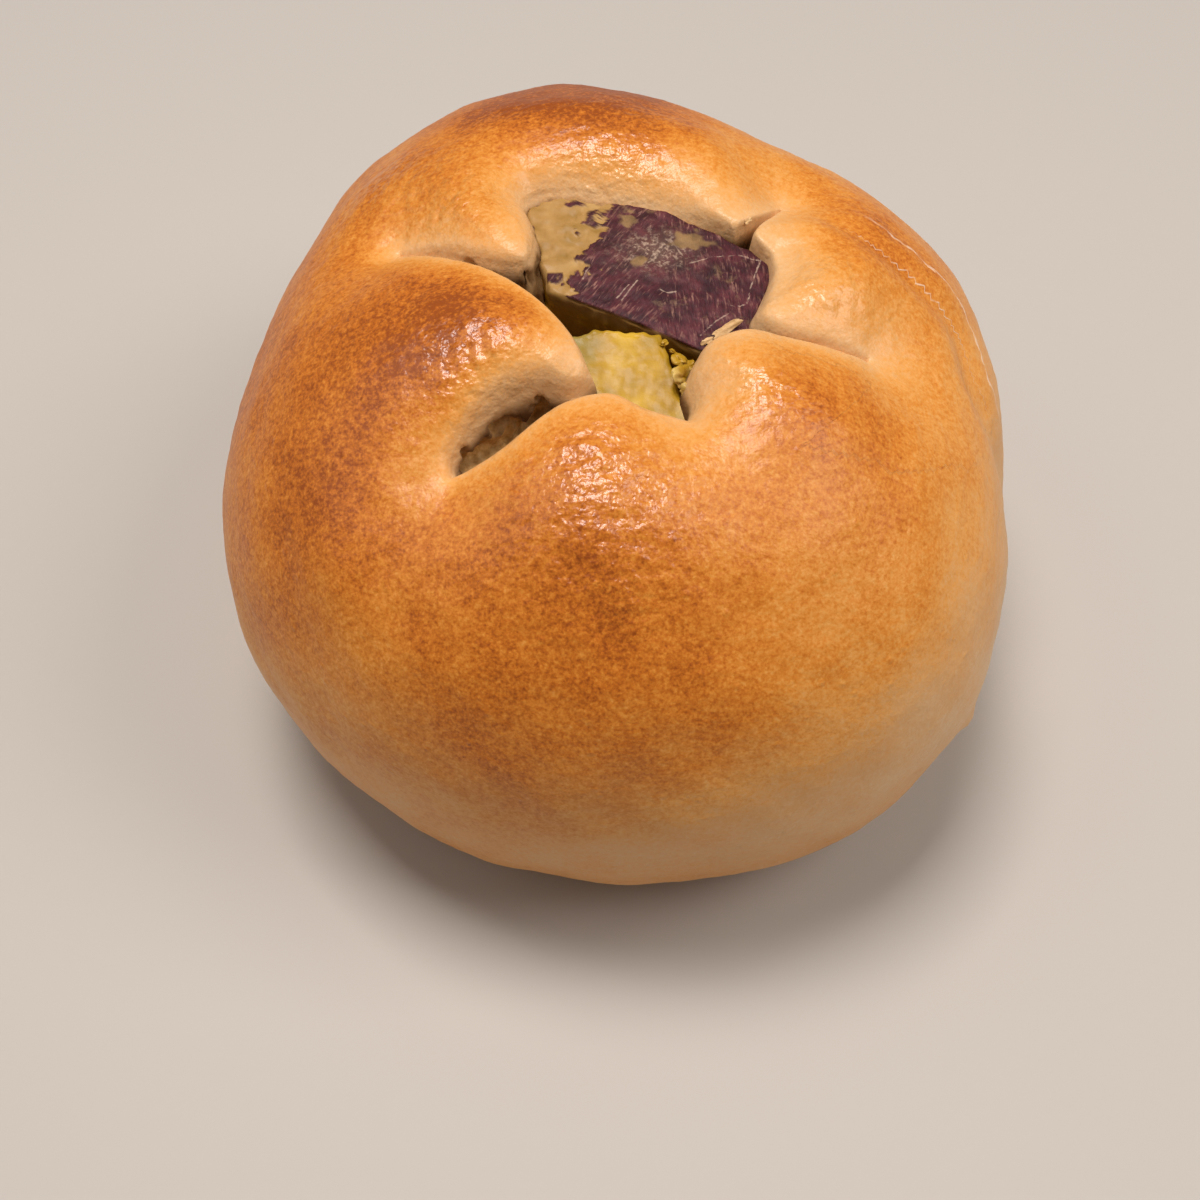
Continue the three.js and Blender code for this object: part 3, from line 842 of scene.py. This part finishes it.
    def crust_relief(self, points: Array) -> Array:
        """Sums the round swells and the fold, whose groove grows deeper and wider along its path.

        Args:
            points: places on the body.

        Returns:
            The height above the smooth body along its normal.
        """
        height = np.zeros(points.shape[:-1])
        for (x, y), rise, radius in self.swells:
            centre = np.array([x, y, self.body.crown_height(np.array(x), np.array(y))])
            height += rise * bell(np.linalg.norm(points - centre, axis=-1), radius)
        distance, _, along = nearest_on(self.fold, points)
        depth = self.fold_depth[0] + (self.fold_depth[1] - self.fold_depth[0]) * along
        width = self.fold_width[0] + (self.fold_width[1] - self.fold_width[0]) * along
        return height - depth * smooth_step(0, self.fold_start, along) * bell(distance, width)

    def creased(self, points: Array) -> Array:
        """How near each point lies to the slanting crease on the front, from 0 to 1."""
        distance, _, along = nearest_on(self.crease, points)
        return bell(distance, self.crease_width) * shown_between(self.crease_shown, along)

    def fine_relief(self, points: Array, gloss: Array) -> Array:
        """Sums relief too fine for the solid: swells, peel where it glistens, creases and the nub.

        Args:
            points: places on the body.
            gloss: how strongly they glisten.

        Returns:
            The height above the solid's surface.
        """
        nub = self.nub_rise * bell(np.linalg.norm(points - np.array(self.nub), axis=-1), self.nub_radius)
        peel = (self.peel_heights[0] + self.peel_heights[1] * gloss) * waves(points, *self.peel_waves)
        low = self.skin_crease_height * smooth_step(*self.skin_crease_levels, points[..., 2])
        creases = low * waves(points, *self.skin_creases)
        slow = layered(points, *self.slow_swells)
        return slow + peel + creases + nub - self.crease_depth * self.creased(points)

    def crown_points(self, x: Array, y: Array) -> tuple[Array, CutPlace, Array]:
        """Places the crown's grid, first drawn toward the nearest lip, where the surface bends most.

        Args:
            x, y: plan positions of the grid.

        Returns:
            Points in mm on the uncut crown, where they lie against the cut, and how far they drop.
        """
        place = self.cut_place(x, y)
        share = np.where(place.depth > 0, self.pull_inside, self.pull_outside)
        reach = np.abs(place.depth) * share * bell(place.depth, self.pull_width)
        reach = reach * (1 - smooth_step(*self.rim_fade, self.body.plan_share(x, y)))
        px = x + place.toward[..., 0] * reach
        py = y + place.toward[..., 1] * reach
        place = self.cut_place(px, py)
        points = np.stack([px, py, self.body.crown_height(px, py)], axis=-1)
        return points, place, self.opening_drop(place)

    def raised(self, points: Array, share: Array) -> Array:
        """Moves points out along the body's normal by the relief there, times a share."""
        height = (self.crust_relief(points) + self.fine_relief(points, self.gloss(points))) * share
        return points + self.body.normal(points) * height[..., None]

    def gloss(self, points: Array) -> Array:
        """How strongly the crust glistens, from 0 to 1: round spots on the flaps' crowns."""
        total = np.full(points.shape[:-1], self.gloss_everywhere)
        for (x, y), radius in self.glossy_spots:
            total = total + bell(np.hypot(points[..., 0] - x, points[..., 1] - y), radius)
        return np.clip(total, 0, 1)

    def browning(self, points: Array) -> Array:
        """Works out how brown the crust is away from the cut.

        It is brownest on the left and front, rises with height above a pale belly that reaches higher
        on the right, browns again toward the foot, partly as painted shade, and deepens or pales in
        round spots, one of them painted shade on the back of the crown, and deepens in the crease as
        painted shade.

        Args:
            points: places on the body.

        Returns:
            The browning, from 0 to 1.
        """
        x, y, z = np.moveaxis(points, -1, 0)
        azimuth = np.arctan2(y, x)
        top = self.brown_mean + self.brown_swing * np.cos(azimuth - math.radians(self.brown_azimuth))
        reach = np.maximum(np.cos(azimuth - math.radians(self.pale_azimuth)), 0) ** self.pale_power
        middle = self.pale_height + self.pale_rise * reach + layered(points, self.pale_edge)
        pale = self.pale_level - self.pale_swing * reach
        base = pale + (top - pale) * smooth_step(*self.pale_blend, z - middle)
        # Browning toward the foot, partly the crust's own and partly painted shade of the low belly.
        base = base + self.foot_brown_and_shade * smooth_step(*self.foot_levels, z)
        # The round spots brown or pale the crust; the one on the back of the crown is painted shade.
        for (sx, sy), radius, extra in self.toasted_and_shaded_spots:
            base = base + extra * bell(np.hypot(x - sx, y - sy), radius) * smooth_step(*self.spot_levels, z)
        # Painted shade: the crust browns a little along the slanting crease on the front.
        base = base + self.painted_crease_shade * self.creased(points)
        return np.clip(base + layered(points, self.uneven), 0, 1)

    def tear(self, points: Array, place: CutPlace, drop: Array) -> tuple[Array, Array]:
        """Runs the torn part of each cut face back under its flap, past a ragged edge.

        Args:
            points: the crown's points in mm, after their drop.
            place: where they lie against the cut.
            drop: how far they dropped.

        Returns:
            The moved points, and how much each lies in the torn hollow, from 0 to 1.
        """
        ragged = layered(points, *self.tear_layers)
        inward = drop - self.tear_start + self.tear_ragged * ragged
        cave = smooth_step(*self.tear_blend, inward) * (place.depth > 0)
        shift = cave * (place.blend("undercut") + place.blend("torn") * ragged)
        moved = points.copy()
        moved[..., :2] += place.toward * shift[..., None]
        return moved, cave * np.clip(place.blend("torn") / self.full_tear, 0, 1)

    def build(self) -> Piece:
        """Builds the dough's mesh and its crust.

        The rows run from the pit's floor over the crown, down the belly and in under the flat foot.

        Returns:
            The finished piece.
        """
        body, (opening, crown, belly, foot) = self.body, self.row_counts
        azimuths = crowded_azimuths(self.columns, self.slit_azimuths, *self.slit_crowding)
        radius = body.plan_radius(azimuths)
        ring = np.stack([radius * np.cos(azimuths), radius * np.sin(azimuths)], axis=-1)
        turns = np.linspace(math.asin(self.opening_share), math.pi / 2, crown)
        shares = np.concatenate([np.arange(1, opening) * self.opening_share / opening, np.sin(turns)])
        shift = 1 - smooth_step(0, self.pole_fade, shares)
        plan = shares[:, None, None] * ring + shift[:, None, None] * np.array(self.pole)
        top, place, drop = self.crown_points(plan[..., 0], plan[..., 1])
        upper = self.raised(top, 1 - smooth_step(*self.slit_flare, drop))
        upper[..., 2] -= drop
        upper, cave = self.tear(upper, place, drop)
        turns = np.linspace(0, math.pi / 2, belly + 1)[1:]
        reach = np.maximum(np.cos(turns), 0) ** (2 / body.belly_power)
        lower = np.empty((belly, self.columns, 3))
        lower[..., :2] = (body.foot_share + (1 - body.foot_share) * reach)[:, None, None] * ring
        lower[..., 2] = (body.waist * (1 - np.sin(turns) ** (2 / body.belly_power)))[:, None]
        lower = self.raised(lower, smooth_step(*self.foot_flare, lower[..., 2]))
        lower[..., 2] = np.maximum(lower[..., 2], 0)
        under = np.zeros((foot - 1, self.columns, 3))
        under[..., :2] = (body.foot_share * np.arange(foot - 1, 0, -1) / foot)[:, None, None] * ring
        rows = np.concatenate([upper, lower, under])
        piece = closed_mesh("bagel_crust", rows - BOX_MIDDLE, np.zeros(3))
        self.dress(piece, rows, place, cave)
        return piece

    def dress(self, piece: Piece, rows: Array, place: CutPlace, cave: Array) -> None:
        """Stores what the crust reads at each vertex, and gives the piece its crust.

        Args:
            piece: the dough.
            rows: its grid in mm, before the shift onto the frame's origin.
            place: where the upper rows lie against the cut.
            cave: how much each of those lies in the torn hollow.
        """
        upper = len(cave)
        browning, gloss = self.browning(rows), self.gloss(rows)
        away = np.maximum(-place.depth + self.lip_overlap, 0) / place.blend("pale")
        browning[:upper] *= self.lip_brown + (1 - self.lip_brown) * (1 - np.exp(-away))
        glazed = self.gloss_at_lips * smooth_step(*self.gloss_reach, -place.depth)
        gloss[:upper] = np.maximum(gloss[:upper], glazed)
        cut, deep = np.zeros(rows.shape[:2]), np.zeros(rows.shape[:2])
        cut[:upper] = cave
        # deep marks the deep slits, where the crust is darkened as painted shade and made rougher.
        deep[:upper] = smooth_step(*self.painted_shade_depths, place.depth * place.blend("wall"))
        distance, toward, along = nearest_on(self.fold, rows)
        side = -np.sign((toward[..., :2] * rows[..., :2]).sum(axis=-1))
        aside = np.clip(distance * side, -self.fold_reach, self.fold_reach)
        set_attributes(piece, {
            "browning": (0.1, browning, 0.3),
            "cut_face": (1.0, cut, 0.0),
            "gloss": (0.0, gloss * (1 - cut) * (1 - deep), 0.0),
            "deep": (1.0, deep, 0.0),
            "fold_distance": (self.fold_reach, aside, 0.0),
            "fold_shown": (0.0, shown_between(self.fold_lines_shown, along), 0.0),
        })
        piece.data.materials.append(BakedCrust().build())


# ---- the filling


@dataclass
class PotatoChunk:
    """A cut block of sweet potato with rounded edges and a sloping top that is bent like the tuber."""

    name: str
    node: str
    slot: str
    finish: Finish
    corners: tuple
    lean: tuple
    centre: tuple
    face_height: float
    face_slope: tuple
    bend: float
    underside: float
    seed: int
    roughness_mm: float
    ragged_mm: float
    skin_mm: float = 0.12
    rim_mm: float = 0.9
    corner_power: float = 30
    corner_crowding: tuple = (4, 3)
    edge_radius: float = 0.6
    columns: int = 300
    face_rows: int = 80
    edge_rows: int = 10
    side_rows: int = 60
    under_shares: tuple = (0.7, 0.4, 0.1)

    def outline(self, azimuths: Array, depth: Array) -> Array:
        """Finds the radius where a high-power mean of the shares of the way to each side face is 1.

        Args:
            azimuths: the ways to look, from the centre.
            depth: how far below the face each row lies, as the faces lean.

        Returns:
            The radius for each row and azimuth.
        """
        corners = np.array(self.corners)
        edges = np.roll(corners, -1, axis=0) - corners
        normals = np.stack([edges[:, 1], -edges[:, 0]], axis=-1)
        normals /= np.linalg.norm(normals, axis=1, keepdims=True)
        reach = (normals * (corners - np.array(self.centre))).sum(axis=1)
        reach = reach - np.multiply.outer(depth, self.lean)
        ways = np.stack([np.cos(azimuths), np.sin(azimuths)], axis=-1) @ normals.T
        shares = np.maximum(ways[None] / reach[:, None, :], 0)
        return (shares**self.corner_power).sum(axis=-1) ** (-1 / self.corner_power)

    def grid(self) -> tuple[Array, Array]:
        """Works out the chunk's rows of points.

        Rows run out over the face, round the upper edge in a quarter circle, down the side and in
        under the block.

        Returns:
            Points in mm and, for each row, how far down it is as a share of the height.
        """
        corners = np.array(self.corners) - np.array(self.centre)
        peaks = np.degrees(np.arctan2(corners[:, 1], corners[:, 0])) % 360
        azimuths = crowded_azimuths(self.columns, peaks, *self.corner_crowding)
        tall = self.face_height - self.underside
        edge = self.edge_radius / tall
        turn = np.linspace(0, math.pi / 2, self.edge_rows)
        face, below = np.linspace(0.01, 0.985, self.face_rows), np.ones(len(self.under_shares))
        shares = np.concatenate([face, np.ones(self.edge_rows + self.side_rows), self.under_shares])
        insets = np.concatenate([face, 1 - np.sin(turn), np.zeros(self.side_rows + len(below))])
        side = np.linspace(edge, 1, self.side_rows + 1)[1:]
        falls = np.concatenate([np.zeros(self.face_rows), edge * (1 - np.cos(turn)), side, below])
        radius = self.outline(azimuths, falls * tall) * shares[:, None] - (self.edge_radius * insets)[:, None]
        x = self.centre[0] + radius * np.cos(azimuths)
        y = self.centre[1] + radius * np.sin(azimuths)
        top = self.face_height + self.face_slope[0] * x + self.face_slope[1] * y - self.bend * radius**2
        z = top + (self.underside - top) * falls[:, None]
        return np.stack([x, y, z], axis=-1), falls

    def marks(self, rows: Array, falls: Array) -> dict[str, Array]:
        """Names numbers for the finish: how much skin is left, and the depth below the face in mm."""
        return {"skin": np.zeros(rows.shape[:2]), "sunk": self.face_height - rows[..., 2]}

    def build(self) -> Piece:
        """Builds the chunk with its rough surface, its raised skin and its finish.

        Returns:
            The finished piece.
        """
        rows, falls = self.grid()
        marks = self.marks(rows, falls)
        skin = marks["skin"]
        outward = rows - np.array([*self.centre, (self.face_height + self.underside) / 2])
        outward /= np.linalg.norm(outward, axis=-1, keepdims=True)
        rough = layered(rows, (1, 3.2, self.seed), (0.6, 1.3, self.seed + 1))
        lift = self.roughness_mm * rough * (1 - 0.7 * skin) + self.skin_mm * skin
        nearly = np.minimum(np.arange(len(falls)) / self.face_rows, 1) ** 24
        rim = (nearly * bell(falls * (self.face_height - self.underside), self.rim_mm))[:, None]
        ragged = layered(rows, (1, 2.6, self.seed + 5), (0.6, 1.2, self.seed + 6))
        lift = lift + self.ragged_mm * rim * ragged
        fade = (1 - smooth_step(0.85, 1.0, falls))[:, None]
        piece = closed_mesh(self.name, rows + outward * (lift * fade)[..., None] - BOX_MIDDLE)
        set_attributes(piece, {name: (v[0].mean(), v, v[-1].mean()) for name, v in marks.items()})
        piece.data.materials.append(self.finish.build())
        return piece


@dataclass
class LargeChunk(PotatoChunk):
    """The wedge whose skin faces up, with its left strip peeled, a bare patch and a worn place."""

    name: str = "large_potato_wedge"
    node: str = "potato_chunk_large"
    slot: str = "potato_skin"
    finish: Finish = PotatoSkinAndFlesh()
    corners: tuple = ((-9.9, 14.5), (-7.1, 2.2), (9.2, -6.2), (13.1, -4.8), (16.9, 4.6), (16.5, 6.4),
                      (5.1, 13.9), (-6.8, 16.3))
    lean: tuple = (0.0, 0.12, 0.05, 0.0, 0.0, 0.0, 0.0, 0.0)
    centre: tuple = (3.2, 3.5)
    face_height: float = 56.3
    face_slope: tuple = (0.0, 0.06)
    bend: float = 0.004
    underside: float = 40.0
    seed: int = 51
    roughness_mm: float = 0.12
    ragged_mm: float = 0.05
    peel_start: tuple = (-1.3, 15.2)
    peel_end: tuple = (-5.1, 1.8)
    peel_layers: tuple = ((0.75, 3.2, 61), (0.45, 1.2, 63), (0.2, 0.6, 64))
    bare_patches: tuple = ((7.9, 8.8, 2.3, 1.25), (1.3, 11.9, 0.9, 1.0), (2.5, 5.7, 0.8, 0.8))
    small_spots: tuple = ((-4.6, 14.9, 1.0), (-9.3, 11.7, 0.4), (-6.7, 4.0, 1.1))
    worn_place: tuple = (4.2, 7.4)
    worn_radius: float = 3.2
    scored: tuple = (
        ((7.5, 5.5), (10.5, 6.6), (12.9, 7.0), (15.3, 6.4)), ((13.5, 0.4), (12.7, 0.0), (11.7, 0.0)),
        ((15.4, 6.6), (14.6, 4.6), (14.0, 2.4), (13.6, 0.5)), ((3.4, 5.6), (4.7, 7.2), (5.5, 8.1)),
        ((3.6, 6.4), (5.1, 8.4)), ((5.8, 9.0), (6.4, 7.8), (7.0, 6.7)), ((0.5, 0.6), (2.2, 3.2)),
        ((0.0, 0.9), (1.3, 2.6)), ((8.5, -3.9), (10.2, -2.0), (11.5, -1.0)), ((-3.5, 3.6), (-2.8, 5.3)),
        ((4.6, 1.9), (5.3, 1.5), (6.2, 1.7)),
    )

    def marks(self, rows: Array, falls: Array) -> dict[str, Array]:
        """Adds skin on the face, right of a ragged peeled edge and in a few spots left of it, how far
        each point is from a score, and where the skin is bared, worn or upright in grain.

        Args:
            rows: the chunk's points.
            falls: how far down each row is as a share of the height.

        Returns:
            Attribute name to its numbers.
        """
        x, y = rows[..., 0], rows[..., 1]
        start, end = np.array(self.peel_start), np.array(self.peel_end)
        along = (end - start) / np.linalg.norm(end - start)
        side = -(along[1] * (x - start[0]) - along[0] * (y - start[1]))
        covered = smooth_step(-0.12, 0.18, side + layered(rows, *self.peel_layers))
        for sx, sy, radius in self.small_spots:
            spot = np.hypot(x - sx, 1.5 * (y - sy)) + 0.3 * radius * waves(rows, 1.2, 67)
            covered = np.maximum(covered, smooth_step(radius, 0.75 * radius, spot))
        bare = np.zeros(rows.shape[:2])
        for sx, sy, across, deep in self.bare_patches:
            patch = np.hypot((x - sx) / across, (y - sy) / deep) + layered(rows, (0.25, 1.3, 65))
            bare = np.maximum(bare, smooth_step(1.15, 0.75, patch))
        away = np.hypot(x - self.worn_place[0], 1.3 * (y - self.worn_place[1]))
        from_scores = [nearest_on(np.array(score), rows[..., :2])[0] for score in self.scored]
        return super().marks(rows, falls) | {
            "skin": covered * (1 - smooth_step(0.004, 0.02, falls))[:, None],
            "score_distance": np.min(from_scores, axis=0),
            "bared": bare,
            "worn": bell(away + layered(rows, (0.5, 1.6, 68)), self.worn_radius),
            "far_right": smooth_step(2.0, 7.0, x + layered(rows, (0.8, 3.0, 69))),
        }


@dataclass
class SmallChunk(PotatoChunk):
    """The yellow wedge, whose right side still has its skin."""

    name: str = "small_potato_wedge"
    node: str = "potato_chunk_small"
    slot: str = "potato_flesh"
    finish: Finish = PotatoFlesh()
    corners: tuple = ((-6.0, -16.5), (7.8, -16.5), (4.5, -4.4), (-1.8, -4.1), (-4.7, -4.8), (-6.0, -5.8))
    lean: tuple = (0.0, 0.05, 0.0, 0.0, 0.0, 0.0)
    centre: tuple = (0.5, -9.5)
    face_height: float = 58.15
    face_slope: tuple = (-0.02, 0.24)
    bend: float = 0.003
    underside: float = 42.0
    seed: int = 81
    roughness_mm: float = 0.035
    ragged_mm: float = 0.08
    skinned: tuple = (-72.0, 22.0)
    green_left: float = -4.9
    green_front: float = -16.0

    def marks(self, rows: Array, falls: Array) -> dict[str, Array]:
        """Adds skin on the right side face, between two azimuths, and how green the flesh is: toward
        the left and front edges, where the skin was near.

        Args:
            rows: the chunk's points.
            falls: how far down each row is as a share of the height.

        Returns:
            Attribute name to its numbers.
        """
        x, y = rows[..., 0], rows[..., 1]
        azimuth = np.degrees(np.arctan2(y - self.centre[1], x - self.centre[0]))
        start, end = self.skinned
        inside = shown_between((start - 3, start + 3, end - 3, end + 3), azimuth)
        near = np.minimum(x - self.green_left, y - self.green_front) + layered(rows, (0.35, 1.6, 83))
        return super().marks(rows, falls) | {
            "skin": inside * smooth_step(0.03, 0.06, falls)[:, None],
            "green_rim": smooth_step(2.8, 0.2, near),
        }


@dataclass
class PotatoCrumbs:
    """Loose crumbs of potato in the gap on the right of the small chunk, as one piece.

    places holds each crumb's x, y and z and its size.
    """

    places: tuple = (
        (6.3, -7.8, 56.4, 0.75), (6.4, -10.2, 56.4, 0.95), (7.2, -8.6, 56.4, 0.5), (6.7, -11.9, 56.2, 0.55),
        (4.8, -5.7, 56.7, 0.4), (5.6, -6.8, 56.5, 0.3),
    )
    drawn_out: tuple = (1.35, 1.0, 0.6)
    seed: int = 91
    sides: int = 40
    rings: int = 25

    def build(self) -> Piece:
        """Builds each crumb as a dented ball and joins them into one piece.

        A crumb's radius is its size times 1 plus smooth noise of its own direction.

        Returns:
            The finished piece.
        """
        azimuths = np.arange(self.sides) / self.sides * 2 * math.pi
        tilts = np.linspace(0, math.pi, self.rings + 2)[1:-1]
        ways = np.stack([
            np.sin(tilts)[:, None] * np.cos(azimuths), np.sin(tilts)[:, None] * np.sin(azimuths),
            np.cos(tilts)[:, None] * np.ones(self.sides),
        ], axis=-1)
        rng = np.random.default_rng(self.seed)
        crumbs = []
        for i, (*place, size) in enumerate(self.places):
            radius = size * (1 + layered(ways, (0.26, 2.2, 71 + i), (0.10, 0.8, 171 + i)))
            drawn = np.linalg.qr(rng.normal(size=(3, 3)))[0] * np.array(self.drawn_out)[:, None]
            rows = (ways * radius[..., None]) @ (drawn * np.sign(np.linalg.det(drawn)))
            crumb = closed_mesh(f"crumb_{i}", rows + np.array(place) - BOX_MIDDLE)
            nothing = (0.0, np.zeros(rows.shape[:2]), 0.0)
            set_attributes(crumb, {"skin": nothing, "green_rim": nothing})
            crumbs.append(crumb)
        piece = joined("potato_crumbs", crumbs)
        piece.data.materials.append(PotatoFlesh(name="potato_crumb_flesh", crest="#dcc47c").build())
        return piece


@dataclass(frozen=True)
class Shred:
    """A thin torn flake: its middle, half length and half width in mm, and how far its ends curl."""

    middle: tuple
    length: tuple
    width: tuple
    curl: float


@dataclass
class DoughShreds:
    """Torn flakes of pale dough skin beside the slits, as one piece."""

    shreds: tuple = (
        Shred((11.3, -3.4, 56.2), (1.7, 1.0, 0.35), (-0.20, 0.32, 0.30), 0.2),
        Shred((9.2, -4.9, 56.0), (0.6, 0.3, 0.15), (-0.14, 0.22, 0.2), -0.1),
        Shred((14.2, 10.7, 57.8), (0.4, 0.3, 0.1), (-0.12, 0.16, 0.16), 0.1),
    )
    thickness: float = 0.12
    sides: int = 48
    rings: int = 10

    def rows(self, shred: Shred, seed: int) -> Array:
        """Works out a flake's grid: a flat lens with a ragged rim, bent along its length.

        Args:
            shred: the flake.
            seed: what its rim's noise is drawn from.

        Returns:
            Rows of points in mm, over the upper side and back under the lower one.
        """
        turns = np.arange(self.sides) / self.sides * 2 * math.pi
        upper = np.sin(np.linspace(0.05, math.pi / 2, self.rings))
        share = np.concatenate([upper, upper[-2::-1]])
        side = np.concatenate([np.ones(self.rings), -np.ones(self.rings - 1)])
        length, width = np.array(shred.length), np.array(shred.width)
        across = np.cross(length, width)
        across /= np.linalg.norm(across)
        rim = np.stack([np.cos(turns), np.sin(turns), np.zeros(self.sides)], axis=-1)
        reach = share[:, None] * (1 + layered(rim, (0.10, 1.3, seed), (0.05, 0.5, seed + 50)))
        along, over = reach * np.cos(turns), reach * np.sin(turns)
        lift = self.thickness / 2 * side * np.sqrt(np.maximum(1 - share**2, 0))
        plan = np.stack([along, over, 0 * along], axis=-1)
        bend = shred.curl * (along**2 - 0.4) + layered(plan, (0.035, 1.2, seed + 9))
        flat = along[..., None] * length + over[..., None] * width
        return np.array(shred.middle) + flat + (lift[:, None] + bend)[..., None] * across

    def build(self) -> Piece:
        """Builds the flakes, joins them and gives them their finish.

        Returns:
            The finished piece.
        """
        flakes = [closed_mesh(f"shred_{i}", self.rows(shred, 200 + i) - BOX_MIDDLE)
                  for i, shred in enumerate(self.shreds)]
        piece = joined("dough_shreds", flakes)
        piece.data.materials.append(TornDough().build())
        return piece


# ---- the studio


@dataclass(frozen=True)
class Lamp:
    """A square soft light: its name, its place and size in mm, and its power."""

    name: str
    place: tuple
    size: float
    watts: float


@dataclass
class Studio:
    """A pale floor, soft lights and the camera at the photograph's angle."""

    eye: tuple = (-1.957, -111.866, 171.798)
    dip_degrees: float = 56.95
    roll_degrees: float = -0.352
    focal_pixels: float = 1514.7
    picture_pixels: float = 1200.0
    sensor_mm: float = 36.0
    floor_mm: float = 3000.0
    lamps: tuple = (
        Lamp("key", (-80.0, 75.0, 690.0), 230.0, 3.72),
        Lamp("side", (400.0, -60.0, 520.0), 300.0, 1.6),
        Lamp("left", (-420.0, 10.0, 380.0), 380.0, 0.42),
    )
    aim: tuple = (0.0, 0.0, 40.0)
    light_colour: str = "#fff6f0"
    room_strength: float = 0.165

    def camera(self) -> None:
        """Adds the camera: it looks along +Y and down, turned a little about its own axis."""
        data = bpy.data.cameras.new("view")
        data.sensor_width = self.sensor_mm
        data.lens = self.sensor_mm * self.focal_pixels / self.picture_pixels
        data.clip_start = 0.01
        camera = bpy.data.objects.new("view", data)
        place = (Vector(self.eye) - Vector(BOX_MIDDLE)) * MM
        dip = Matrix.Rotation(math.radians(90 - self.dip_degrees), 4, "X")
        roll = Matrix.Rotation(math.radians(self.roll_degrees), 4, "Z")
        camera.matrix_world = Matrix.Translation(place) @ dip @ roll
        bpy.context.scene.collection.objects.link(camera)
        bpy.context.scene.camera = camera

    def light(self, lamp: Lamp) -> None:
        """Adds a light that faces the bun, with a lamp's sizes."""
        data = bpy.data.lights.new(lamp.name, "AREA")
        data.size = lamp.size * MM
        data.energy = lamp.watts
        data.color = to_linear(self.light_colour)[:3]
        light = bpy.data.objects.new(lamp.name, data)
        light.location = Vector(lamp.place) * MM
        light.rotation_euler = (Vector(self.aim) * MM - light.location).to_track_quat("-Z", "Y").to_euler()
        bpy.context.scene.collection.objects.link(light)

    def build(self) -> None:
        """Builds the camera, the floor, the lights and the room's soft glow."""
        self.camera()
        half = self.floor_mm / 2 * MM
        mesh = bpy.data.meshes.new("floor")
        corners = [(-half, -half, 0), (half, -half, 0), (half, half, 0), (-half, half, 0)]
        mesh.from_pydata(corners, [], [(0, 1, 2, 3)])
        floor = bpy.data.objects.new("floor", mesh)
        bpy.context.scene.collection.objects.link(floor)
        mesh.materials.append(PaleFloor().build())
        for lamp in self.lamps:
            self.light(lamp)
        world = bpy.data.worlds.new("room")
        world.use_nodes = True
        glow = world.node_tree.nodes["Background"]
        glow.inputs["Color"].default_value = to_linear(self.light_colour)
        glow.inputs["Strength"].default_value = self.room_strength
        bpy.context.scene.world = world
        bpy.context.scene.view_settings.view_transform = "Standard"


def place_piece(piece: Piece, slot: str, *nodes: str) -> None:
    """Puts a piece on the bun's body and reports it.

    Args:
        piece: the piece.
        slot: its material slot; not used.
        *nodes: the CAD nodes that it stands for, if any.
    """
    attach(piece, BODY)
    if nodes:
        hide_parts(*nodes)
    log.info("%s: %d faces", piece.name, len(piece.data.polygons))


def main() -> None:
    """Builds the studio, the dough and its filling."""
    logging.basicConfig(level=logging.INFO, format="%(name)s %(message)s")
    Studio().build()
    place_piece(BagelDough().build(), "baked_crust", "bagel_dough")
    for chunk in (LargeChunk(), SmallChunk()):
        place_piece(chunk.build(), chunk.slot, chunk.node)
    place_piece(PotatoCrumbs().build(), "potato_flesh")
    place_piece(DoughShreds().build(), "baked_crust")


if __name__ == "__main__":
    main()
